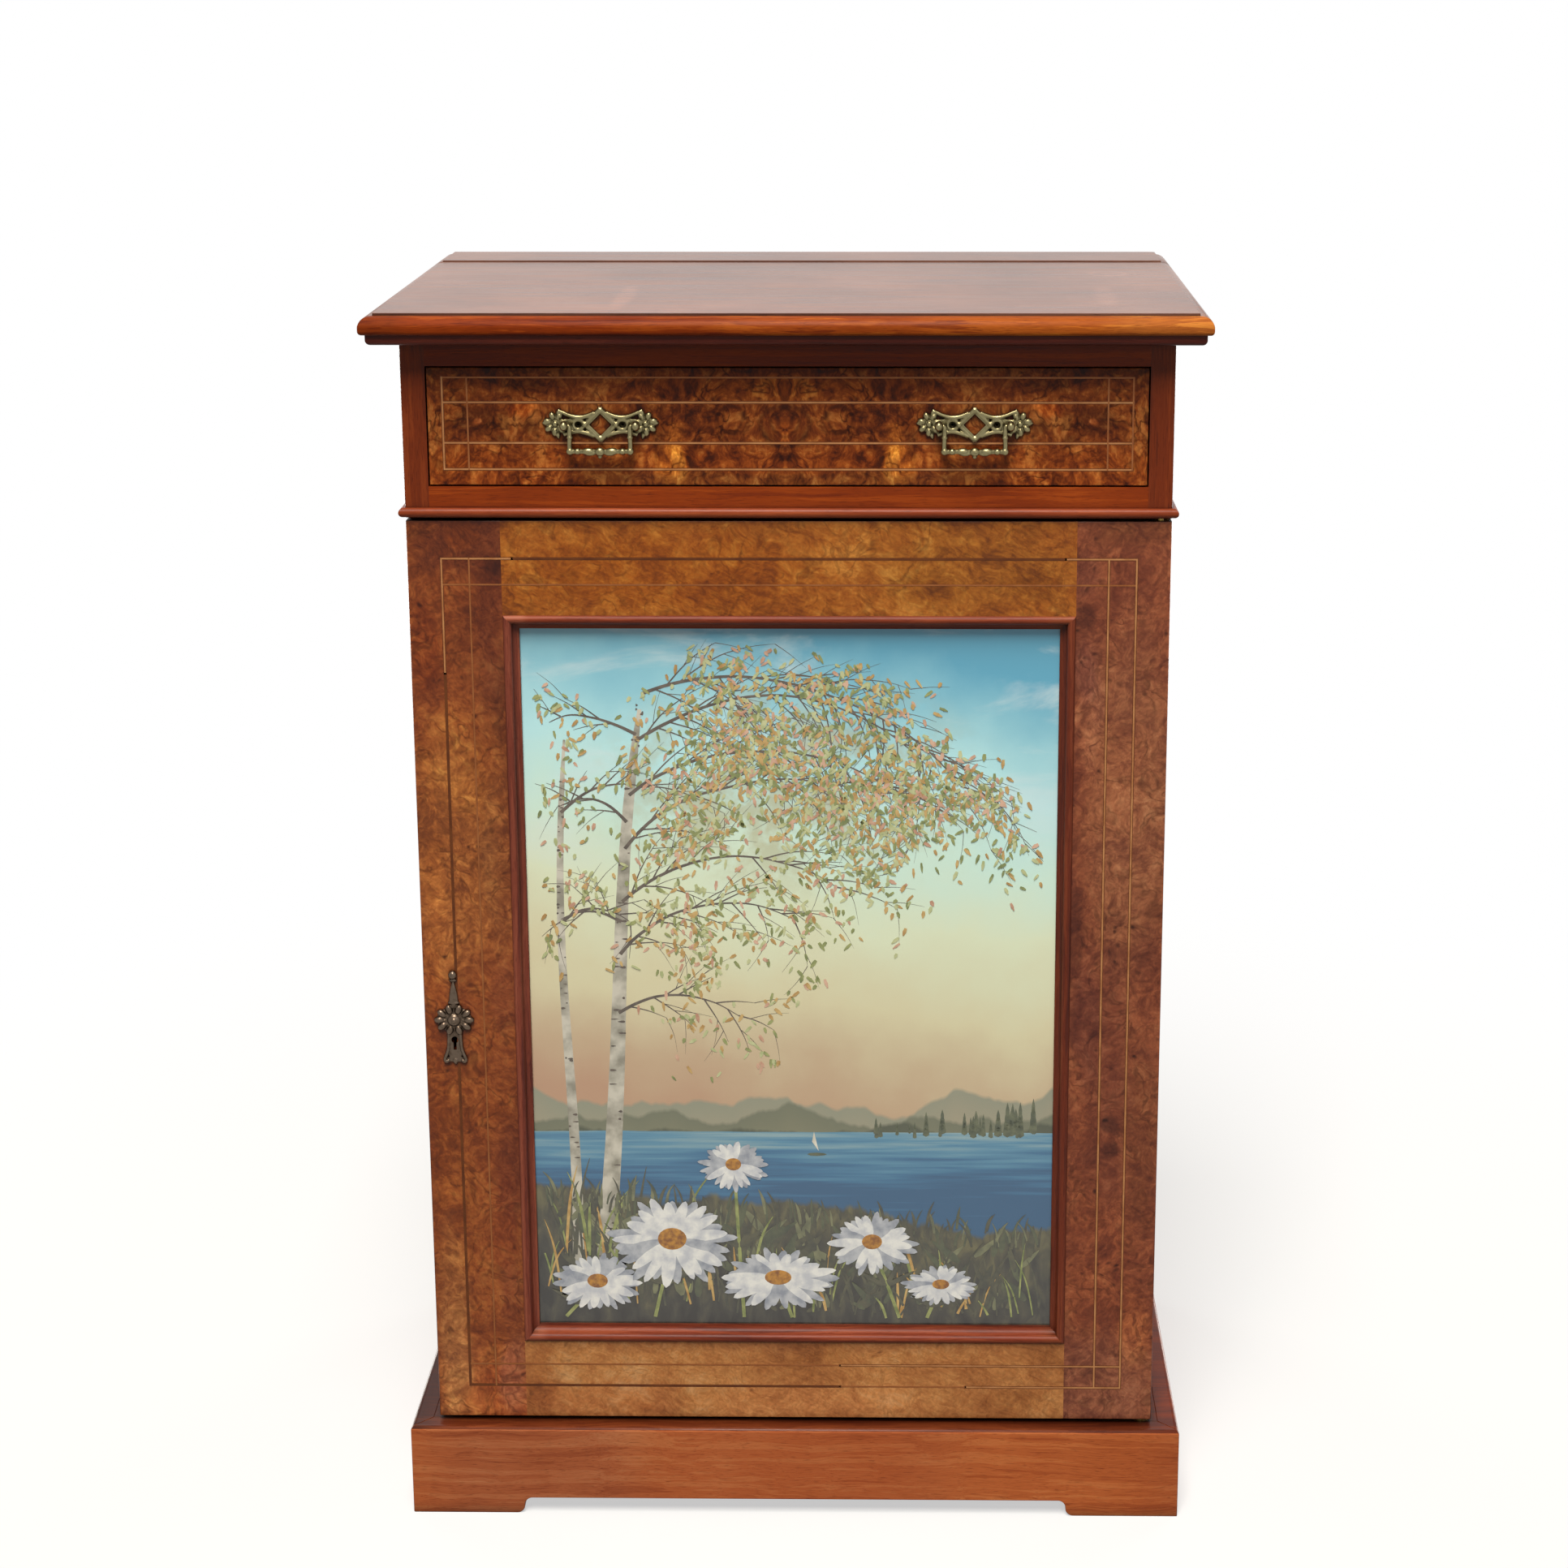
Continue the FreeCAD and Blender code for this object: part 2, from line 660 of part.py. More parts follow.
def make_drawer_box():
    x_inner = half_drawer - drawer_side_thickness
    z_low = z_opening_bottom + drawer_slide_gap
    z_high = z_opening_top - drawer_side_drop
    z_floor = z_low + drawer_bottom_rise
    z_floor_top = z_floor + drawer_bottom_thickness
    y_back_near = y_drawer_end - drawer_back_thickness
    half_floor = x_inner + drawer_bottom_groove
    tails = dovetails(max(z_low, z_drawer_bottom), z_high)
    board = block((x_inner, y_drawer_rear, z_low), (half_drawer, y_drawer_end, z_high))
    groove = block((x_inner, y_drawer_rear, z_floor), (half_floor, y_drawer_end, z_floor_top))
    half_back = x_inner + drawer_back_housing
    housing = block((x_inner, y_back_near, z_floor_top), (half_back, y_drawer_end, z_high))
    side = fused([board] + tails).cut(fused([groove, housing]))
    save("drawer_side_right", side)
    save("drawer_side_left", mirrored(side))
    front = block((-half_drawer, y_front, z_drawer_bottom), (half_drawer, y_drawer_rear, z_drawer_top))
    front_groove = block((-x_inner, y_drawer_rear - drawer_bottom_groove, z_floor),
                         (x_inner, y_drawer_rear, z_floor_top))
    both_tails = tails + [mirrored(tail) for tail in tails]
    save("drawer_front", front.cut(both_tails + [front_groove] + post_holes()))
    save("drawer_back", block((-half_back, y_back_near, z_floor_top),
                              (half_back, y_drawer_end, z_high - drawer_back_drop)))
    x_floor = x_inner - drawer_bottom_end_gap
    half_tongue = half_floor - drawer_bottom_end_gap
    y_lip = y_drawer_rear - drawer_bottom_groove + drawer_bottom_end_gap
    floor = fused([block((-x_floor, y_lip, z_floor), (x_floor, y_drawer_end, z_floor_top)),
                   block((-half_tongue, y_drawer_rear, z_floor), (half_tongue, y_drawer_end, z_floor_top))])
    save("drawer_bottom", floor)


# Drawer pulls
y_eye = y_front - post_reach
y_plate_face = y_front - pull_thickness


def pull_centres():
    return (-pull_spacing / 2, pull_spacing / 2)


def post_places():
    return [(centre + side * post_spacing / 2) for centre in pull_centres() for side in (-1, 1)]


def post_holes():
    radius = post_radius + post_hole_clearance
    y_near = y_plate_face - overrun
    y_far = y_drawer_rear + overrun
    return [rod((x, y_near, z_pull), (x, y_far, z_pull), radius) for x in post_places()]


def disc(x, z, radius):
    return rod((x, y_plate_face, z), (x, y_front, z), radius)


def pull_plate(centre):
    half_height = pull_height / 2
    lozenge = prism([(centre - lozenge_half_length, y_plate_face, z_pull),
                     (centre, y_plate_face, z_pull + half_height),
                     (centre + lozenge_half_length, y_plate_face, z_pull),
                     (centre, y_plate_face, z_pull - half_height)], along_y * pull_thickness)
    half_neck = pull_neck_height / 2
    neck = block((centre - lobe_offset, y_plate_face, z_pull - half_neck),
                 (centre + lobe_offset, y_front, z_pull + half_neck))
    pieces = [lozenge, neck]
    for side in (-1, 1):
        pieces.append(disc(centre + side * lobe_offset, z_pull, lobe_radius))
        pieces.append(disc(centre + side * (pull_length / 2 - lobe_tip_radius), z_pull, lobe_tip_radius))
        for rise in (-lobe_side_rise, lobe_side_rise):
            pieces.append(disc(centre + side * lobe_side_offset, z_pull + rise, lobe_side_radius))
    holes = [disc(centre + side * pull_hole_offset, z_pull, pull_hole_radius) for side in (-1, 1)]
    for step_x, step_z in ((1, 0), (-1, 0), (0, 1), (0, -1)):
        x_foil = centre + step_x * pull_foil_offset
        holes.append(disc(x_foil, z_pull + step_z * pull_foil_offset, pull_foil_radius))
    return fused(pieces).cut(fused(holes)).cut(fused(post_holes()))


def pull_post(x):
    shank = rod((x, y_eye, z_pull), (x, y_drawer_rear + post_end_length, z_pull), post_radius)
    eye = rod((x - eye_width / 2, y_eye, z_pull), (x + eye_width / 2, y_eye, z_pull), eye_radius)
    bore = rod((x - eye_width, y_eye, z_pull), (x + eye_width, y_eye, z_pull), eye_bore_radius)
    return fused([shank, eye]).cut(bore)


def pull_nut(x):
    corner = nut_across_flats / math.sqrt(3)
    turns = [math.pi / 3 * number for number in range(6)]
    points = [(x + corner * math.cos(turn), y_drawer_rear, z_pull + corner * math.sin(turn))
              for turn in turns]
    bore = rod((x, y_drawer_rear - overrun, z_pull), (x, y_drawer_rear + nut_thickness + overrun, z_pull),
               post_radius + post_hole_clearance)
    return prism(points, along_y * nut_thickness).cut(bore)


# The bail's lower bar is turned with three beads
def beaded_bar(centre, half_span, z_bar):
    half_bead = math.sqrt(bail_bead_radius ** 2 - bail_bar_radius ** 2)
    steps = [(-half_span, 0), (-half_span, bail_bar_radius)]
    for number in (-1, 0, 1):
        middle = number * bail_bead_pitch
        steps.append((middle - half_bead, bail_bar_radius))
        steps.append(((middle, bail_bead_radius), (middle + half_bead, bail_bar_radius)))
    steps += [(half_span, bail_bar_radius), (half_span, 0), (-half_span, 0)]
    edges = trace(steps, lambda run, rise: Vector(centre + run, y_eye, z_bar + rise))[0]
    return closed_face(edges).revolve(Vector(centre, y_eye, z_bar), along_x, 360)


def bail(centre):
    half_span = bail_arm_spacing / 2
    z_bar = z_pull - bail_drop
    pieces = [beaded_bar(centre, half_span, z_bar)]
    for side in (-1, 1):
        x_arm = centre + side * half_span
        x_pin = centre + side * (post_spacing + eye_width) / 2
        pieces.append(rod((x_arm, y_eye, z_bar), (x_arm, y_eye, z_pull + bail_pin_radius), bail_arm_radius))
        pieces.append(rod((x_arm, y_eye, z_pull), (x_pin, y_eye, z_pull), bail_pin_radius))
        pieces.append(Part.makeSphere(bail_knuckle_radius, Vector(x_arm, y_eye, z_bar)))
    return fused(pieces)


def make_pulls():
    for name, centre in zip(("left", "right"), pull_centres()):
        save("pull_plate_" + name, pull_plate(centre))
        save("bail_" + name, bail(centre))
    save("pull_posts", [pull_post(x) for x in post_places()])
    save("pull_nuts", [pull_nut(x) for x in post_places()])


# Door frame: rails tenoned into the stiles, with a rebate behind for the glass
def tenon(z_low, z_high, side):
    x_root = side * half_opening
    x_tip = side * (half_opening + tenon_length)
    y_near = y_front + tenon_setback
    return block((min(x_root, x_tip), y_near, z_low + tenon_shoulder),
                 (max(x_root, x_tip), y_near + tenon_thickness, z_high - tenon_shoulder))


def keyhole(y_near, y_far):
    head = rod((keyhole_x, y_near, keyhole_z), (keyhole_x, y_far, keyhole_z), keyhole_radius)
    half_slot = keyhole_slot_width / 2
    slot = block((keyhole_x - half_slot, y_near, keyhole_z - keyhole_slot_length),
                 (keyhole_x + half_slot, y_far, keyhole_z))
    return fused([head, slot])


def hinge_stile():
    radius = door_thickness - pivot_front_distance
    start = math.asin(min(1, pivot_edge_distance / radius))
    y_break = pivot_y + radius * math.cos(start)
    middle = start / 2
    arc_point = (pivot_x + radius * math.sin(middle), pivot_y + radius * math.cos(middle))
    plan = [(pivot_x, y_door_rear), (half_opening, y_door_rear), (half_opening, y_front),
            (half_carcass, y_front), (half_carcass, y_break)]
    corners = [Vector(x, y, z_door_bottom) for x, y in plan]
    arc = Part.Arc(corners[-1], Vector(*arc_point, z_door_bottom), corners[0]).toShape()
    runs = [Part.LineSegment(first, second).toShape() for first, second in zip(corners, corners[1:])]
    return closed_face([arc] + runs).extrude(along_z * (z_door_top - z_door_bottom))


def make_door_frame():
    rails = {"door_top_rail": (z_glazing_top, z_door_top),
             "door_bottom_rail": (z_door_bottom, z_glazing_bottom)}
    rebate = block((-half_opening - rebate_width, y_glass, z_glazing_bottom - rebate_width),
                   (half_opening + rebate_width, y_door_rear, z_glazing_top + rebate_width))
    tenons = {-1: [], 1: []}
    for name, (z_low, z_high) in rails.items():
        body = block((-half_opening, y_front, z_low), (half_opening, y_door_rear, z_high))
        ends = [tenon(z_low, z_high, side) for side in (-1, 1)]
        tenons[-1].append(ends[0])
        tenons[1].append(ends[1])
        save(name, fused([body] + ends).cut(rebate))
    left = block((-half_carcass, y_front, z_door_bottom), (-half_opening, y_door_rear, z_door_top))
    left = left.cut(fused([rebate, keyhole(y_front - overrun, y_door_rear + overrun)] + tenons[-1]))
    save("door_stile_left", left.cut(fused(lock_screw_holes())))
    right = hinge_stile().cut(rebate).cut(fused(tenons[1]))
    save("door_stile_right", right.cut(door_recess(*lower_pivot)).cut(door_recess(*upper_pivot)))
    save("hinge_plates", [door_plate(*lower_pivot), door_plate(*upper_pivot)])


# Glazing bead: a torus against the frame, then a cove down to the glass
def bead_profile(place):
    high = y_glass - y_front
    torus_mid = glazing_torus_width / 2
    cove_top = high - glazing_bead_proud
    run = glazing_bead_width - glazing_torus_width
    sag = (cove_top - glazing_cove_foot) * (1 - math.sqrt(0.5))
    steps = [(0, 0), (0, high), ((torus_mid, high + glazing_bead_proud), (glazing_torus_width, high)),
             (glazing_torus_width, cove_top),
             ((glazing_torus_width + run * (1 - math.sqrt(0.5)), glazing_cove_foot + sag),
              (glazing_bead_width, glazing_cove_foot)), (glazing_bead_width, 0)]
    edges, last = trace(steps, place)
    return closed_face(edges + [Part.LineSegment(last, place(*steps[0])).toShape()])


def make_glazing():
    mid_z = (z_glazing_bottom + z_glazing_top) / 2
    half_height = (z_glazing_top - z_glazing_bottom) / 2
    y_low = y_front - glazing_bead_proud - overrun
    depth = along_y * (y_glass - y_low + overrun)

    def lower_place(inset, rise):
        return Vector(-half_opening, y_glass - rise, z_glazing_bottom + inset)

    def upright_place(inset, rise):
        return Vector(half_opening - inset, y_glass - rise, z_glazing_bottom)

    level = bead_profile(lower_place)
    lower = level.extrude(along_x * (half_opening * 2))
    low_wedge = prism([(-half_opening, y_low, z_glazing_bottom), (half_opening, y_low, z_glazing_bottom),
                       (0, y_low, z_glazing_bottom + half_opening)], depth)
    lower = lower.common(low_wedge)
    upright = bead_profile(upright_place)
    right = upright.extrude(along_z * (half_height * 2))
    right_wedge = prism([(half_opening, y_low, z_glazing_bottom), (half_opening, y_low, z_glazing_top),
                         (half_opening - half_height, y_low, mid_z)], depth)
    right = right.common(right_wedge)
    save("glazing_bead_bottom", lower)
    save("glazing_bead_top", lower.mirror(Vector(0, 0, mid_z), along_z))
    save("glazing_bead_right", right)
    save("glazing_bead_left", mirrored(right))
    half_glass = half_opening + rebate_width - glass_edge_gap
    z_low = z_glazing_bottom - rebate_width + glass_edge_gap
    z_high = z_glazing_top + rebate_width - glass_edge_gap
    y_panel = y_glass + glass_thickness
    y_fillet = y_panel + back_panel_thickness
    save("painted_glass", block((-half_glass, y_glass, z_low), (half_glass, y_panel, z_high)))
    save("door_back_panel", block((-half_glass, y_panel, z_low), (half_glass, y_fillet, z_high)))
    upright_fillet = block((half_opening, y_fillet, z_low), (half_glass, y_door_rear, z_high))
    low_fillet = block((-half_opening, y_fillet, z_low), (half_opening, y_door_rear, z_glazing_bottom))
    high_fillet = low_fillet.mirror(Vector(0, 0, mid_z), along_z)
    save("panel_fillets", [upright_fillet, mirrored(upright_fillet), low_fillet, high_fillet])


# Lock: a plate with a raised case on the stile's back, and a bolt that slides in it
def lock_corner():
    return -half_inside + lock_side_gap, keyhole_z - lock_plate_height / 2 + bolt_rise


def lock_screw_heads():
    x_low, z_low = lock_corner()
    y_head = y_door_rear + lock_plate_thickness
    x_high = x_low + lock_plate_length
    z_high = z_low + lock_plate_height
    return [Vector(x, y_head, z) for x in (x_low + lock_screw_inset, x_high - lock_screw_inset)
            for z in (z_low + lock_screw_inset, z_high - lock_screw_inset)]


def lock_screw_holes():
    return [screw(head, -along_y, screw_clearance) for head in lock_screw_heads()]


def make_lock():
    x_low, z_low = lock_corner()
    y_plate = y_door_rear + lock_plate_thickness
    plate = block((x_low, y_door_rear, z_low),
                  (x_low + lock_plate_length, y_plate, z_low + lock_plate_height))
    z_case = keyhole_z + bolt_rise - lock_case_height / 2
    y_case = y_door_rear + lock_case_depth
    case = block((x_low, y_door_rear, z_case),
                 (x_low + lock_case_length, y_case, z_case + lock_case_height))
    channel = fused([bolt_box(bolt_throw, bolt_clearance), bolt_box(0, bolt_clearance)])
    key_space = keyhole(y_door_rear - overrun, y_door_rear + lock_case_depth / 2)
    save("lock_case", fused([plate, case]).cut([channel, key_space] + lock_screw_holes()))
    save("lock_bolt", bolt_box(0, 0))
    screws = screw_set(lock_screw_heads(), -along_y)
    for pivot in (lower_pivot, upper_pivot):
        screws += screw_set(plate_screw_heads(pivot[1]), along_z * pivot[2])
    save("door_screws", screws)


# Escutcheon: an outlined plate with a finial ball and a domed rosette above the keyhole
def make_escutcheon():
    z_low = keyhole_z - escutcheon_below_keyhole
    y_face = y_front - escutcheon_thickness

    def half_outline(side):
        points = []
        for across_share, up_share in escutcheon_outline_shares:
            x = keyhole_x + side * escutcheon_width * across_share
            points.append(Vector(x, y_face, z_low + escutcheon_height * up_share))
        curve = Part.BSplineCurve()
        curve.interpolate(points)
        return curve.toShape()

    plate = closed_face([half_outline(1), half_outline(-1)]).extrude(along_y * escutcheon_thickness)
    z_finial = z_low + escutcheon_height * finial_height_share
    ball = Part.makeSphere(finial_radius, Vector(keyhole_x, y_front, z_finial))
    z_rosette = z_low + escutcheon_height * rosette_height_share
    dome_radius = (rosette_radius ** 2 + rosette_rise ** 2) / (rosette_rise * 2)
    dome = Part.makeSphere(dome_radius, Vector(keyhole_x, y_face + dome_radius - rosette_rise, z_rosette))
    front_space = block((keyhole_x - escutcheon_width, y_front - escutcheon_width, z_low),
                        (keyhole_x + escutcheon_width, y_front, z_low + escutcheon_height * 2))
    raised = [piece.common(front_space) for piece in (ball, dome)]
    save("escutcheon", fused([plate] + raised).cut(keyhole(y_face - overrun, y_front + overrun)))


os.makedirs("parts", exist_ok=True)
make_top()
make_cornice()
make_waist_bead()
make_plinth()
make_frame_pivots()
make_sides()
make_carcass_inside()
make_frieze()
make_drawer_box()
make_pulls()
make_door_frame()
make_glazing()
make_lock()
make_escutcheon()
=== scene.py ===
import bpy
import bmesh
import json
import math
import random
from functools import partial
from mathutils import Matrix, Vector

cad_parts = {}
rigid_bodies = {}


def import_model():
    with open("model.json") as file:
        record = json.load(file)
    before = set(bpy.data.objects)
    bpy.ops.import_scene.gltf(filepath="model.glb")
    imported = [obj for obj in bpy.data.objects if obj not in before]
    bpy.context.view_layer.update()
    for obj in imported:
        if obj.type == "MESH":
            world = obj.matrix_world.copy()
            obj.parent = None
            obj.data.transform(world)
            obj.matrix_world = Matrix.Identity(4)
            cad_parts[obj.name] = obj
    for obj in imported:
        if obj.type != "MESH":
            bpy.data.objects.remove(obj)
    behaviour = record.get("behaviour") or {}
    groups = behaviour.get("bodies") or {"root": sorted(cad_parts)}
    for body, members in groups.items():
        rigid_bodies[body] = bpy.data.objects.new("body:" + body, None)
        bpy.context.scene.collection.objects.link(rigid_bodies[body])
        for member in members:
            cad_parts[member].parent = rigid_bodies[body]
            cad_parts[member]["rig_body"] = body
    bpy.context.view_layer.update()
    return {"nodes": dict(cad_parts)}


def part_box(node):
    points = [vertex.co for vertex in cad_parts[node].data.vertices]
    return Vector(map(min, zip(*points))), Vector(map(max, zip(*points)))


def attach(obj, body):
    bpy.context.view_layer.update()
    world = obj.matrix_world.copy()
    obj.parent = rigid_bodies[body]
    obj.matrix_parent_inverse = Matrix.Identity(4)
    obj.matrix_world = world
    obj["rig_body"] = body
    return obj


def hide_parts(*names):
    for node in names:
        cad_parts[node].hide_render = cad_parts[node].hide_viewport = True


# Pier cabinet: walnut and mahogany case, burr veneered drawer, door with a painted glass panel
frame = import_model()
nodes = frame["nodes"]
mm = 0.001
print("frame loaded,", len(nodes), "nodes")

doorLow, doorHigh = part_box("door_stile_left")
frontPlane = doorLow.y  # the face of the door, the drawer and the frieze
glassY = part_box("painted_glass")[0].y / mm


# sRGB hex to the linear colour that the nodes take
def linear(hexText):
    values = [int(hexText[i:i + 2], 16) / 255 for i in (1, 3, 5)]
    return [v / 12.92 if v <= 0.04045 else ((v + 0.055) / 1.055) ** 2.4 for v in values] + [1.0]


# A link starts at a socket, or at a node's first one
def socketOf(source):
    return source.outputs[0] if isinstance(source, bpy.types.Node) else source


# One node with its settings and links. The kind of a maths node ends with its operation. In the settings,
# whole numbers and socket names go to sockets, and "stops" to a ramp.
def addNode(tree, kind, settings=None, links=None):
    kind, *operation = kind.split()
    node = tree.nodes.new("ShaderNode" + kind)
    if operation:
        node.operation = operation[0]
    for name, value in (settings or {}).items():
        if name == "stops":
            ramp = node.color_ramp.elements
            while len(ramp) < len(value):
                ramp.new(0.5)
            for stop, (place, colour) in zip(ramp, value):
                stop.position = place
                stop.color = linear(colour)
        elif isinstance(name, int) or name in node.inputs:
            node.inputs[name].default_value = value
        else:
            setattr(node, name, value)
    for name, source in (links or {}).items():
        tree.links.new(socketOf(source), node.inputs[name])
    return node


# Settings that many nodes share
colourMix = {"data_type": "RGBA"}
tintMix = {"data_type": "RGBA", "blend_type": "MULTIPLY"}
soft = {"interpolation_type": "SMOOTHSTEP"}


# A material with what adds nodes to it and its shader
def newMaterial(name):
    material = bpy.data.materials.new(name)
    material.use_nodes = True
    tree = material.node_tree
    return material, partial(addNode, tree), tree.nodes["Principled BSDF"]


# Gives a material's shader its values, and its links where a value is a node or a socket
def setShader(shader, **values):
    for name, value in values.items():
        socket = shader.inputs[name.replace("_", " ")]
        source = socketOf(value)
        if isinstance(source, bpy.types.NodeSocket):
            shader.id_data.links.new(source, socket)
        else:
            socket.default_value = value


# A thin French polish. Ambient occlusion darkens the corners and quirks as far as a reach in mm: painted
# shade, together with the old polish and dust that gather there.
def setPolish(add, shader, look, colour, gloss, bump):
    hollow = add("AmbientOcclusion", {"samples": 6, "Distance": look["grimeAndShadeReach"] * mm})
    grimeAndShade = add("MapRange", {1: 0.30, 2: 0.92, 3: look["grimeAndShadeDepth"], 4: 0.0}, {0: hollow.outputs["AO"]})
    grimedAndShaded = add("Mix", {**tintMix, 7: linear("#3c2118")}, {0: grimeAndShade, 6: colour})
    setShader(shader, Base_Color=grimedAndShaded.outputs[2], Roughness=gloss, Normal=bump, IOR=1.5,
              Specular_IOR_Level=look["specular"], Coat_Weight=look["coat"],
              Coat_Roughness=look["coatRoughness"])


# Soft places painted paler or darker on the plane of two axes, some as the wood's tone, some as painted light
# and shade;
# each patch is (place, place, half size, half size, tint, share), in mm, with a True at the end of a ring
def addPatches(add, position, plane, patches, lastColour):
    for across, up, halfAcross, halfUp, tint, share, *ring in patches:
        radius, fadeFrom, fadeTo = (1.0, 0.02, 0.24) if ring else (0.0, 0.5, 1.2)
        spread = {plane[0]: (across * mm, 1000 / halfAcross), plane[1]: (up * mm, 1000 / halfUp)}
        centre, scale = zip(*[spread.get(axis, (0.0, 0.0)) for axis in "xyz"])
        offset = add("VectorMath SUBTRACT", {1: centre}, {0: position})
        sized = add("VectorMath MULTIPLY", {1: scale}, {0: offset})
        far = add("VectorMath LENGTH", {}, {0: sized})
        fromRing = add("Math SUBTRACT", {1: radius}, {0: far.outputs["Value"]})
        away = add("Math ABSOLUTE", {}, {0: fromRing})
        near = add("MapRange", {1: fadeFrom, 2: fadeTo, 3: share, 4: 0.0, **soft}, {0: away})
        tinted = add("Mix", {**tintMix, 7: (*tint, 1.0)}, {0: near, 6: lastColour})
        lastColour = tinted.outputs[2]
    return lastColour


# Straight-grained polished wood: long streaks that wander, fine growth lines, dark open pores under a thin
# French polish, so the eye sees colour through a soft gloss. Sizes in mm.
def polishedWood(name, look):
    material, add, shader = newMaterial(name)
    along = "xyz".index(look["along"])
    stretch = lambda length, width: [1000 / (length if axis == along else width) for axis in range(3)]
    place = add("TexCoord")
    moved = add("Mapping", {"Location": look["start"]}, {"Vector": place.outputs["Object"]})
    cloud = add("TexNoise", {"Scale": 1000 / look["cloud"], "Detail": 3.0}, {"Vector": moved})
    centred = add("VectorMath SUBTRACT", {1: (0.5, 0.5, 0.5)}, {0: cloud.outputs[1]})
    bent = add("VectorMath MULTIPLY_ADD", {1: [look["wander"] * mm] * 3}, {0: centred, 2: moved})
    streakPlace = add("VectorMath MULTIPLY", {1: stretch(*look["streak"])}, {0: bent})
    streaks = add("TexNoise", {"Scale": 1.0, "Detail": 5.0, "Roughness": 0.62}, {"Vector": streakPlace})
    porePlace = add("VectorMath MULTIPLY", {1: stretch(*look["pore"])}, {0: bent})
    pores = add("TexNoise", {"Scale": 1.0, "Detail": 2.0}, {"Vector": porePlace})
    waves = add("Math MULTIPLY", {1: look["lines"]}, {0: streaks})
    lines = add("Math SINE", {}, {0: waves})
    mixed = add("Math MULTIPLY_ADD", {1: look["cloudShare"]}, {0: cloud, 2: streaks})
    tone = add("Math MULTIPLY_ADD", {1: look["lineShare"]}, {0: lines, 2: mixed})
    level = add("Math SUBTRACT", {1: look["cloudShare"] / 2}, {0: tone})
    colour = add("ValToRGB", {"stops": [(0.30, look["dark"]), (0.5, look["mid"]), (0.70, look["light"])]},
                 {0: level})
    openGrain = add("MapRange", {1: 0.56, 2: 0.72, 3: 0.0, 4: look["poreShare"]}, {0: pores})
    pored = add("Mix", {**tintMix, 7: linear(look["poreColour"])}, {0: openGrain, 6: colour})
    gloss = add("MapRange", {1: 0.3, 2: 0.7, 3: look["roughness"] - 0.05, 4: look["roughness"] + 0.07},
                {0: streaks})
    bump = add("Bump", {"Strength": look["bump"], "Distance": 0.0003, "invert": True}, {"Height": openGrain})
    ruffled = add("VectorMath MULTIPLY_ADD", {1: [look["wander"] * mm] * 3},
                  {0: centred, 2: place.outputs["Object"]})
    worn = addPatches(add, ruffled, "xy", look["patches"], pored.outputs[2])
    setPolish(add, shader, look, worn, gloss, bump)
    return material


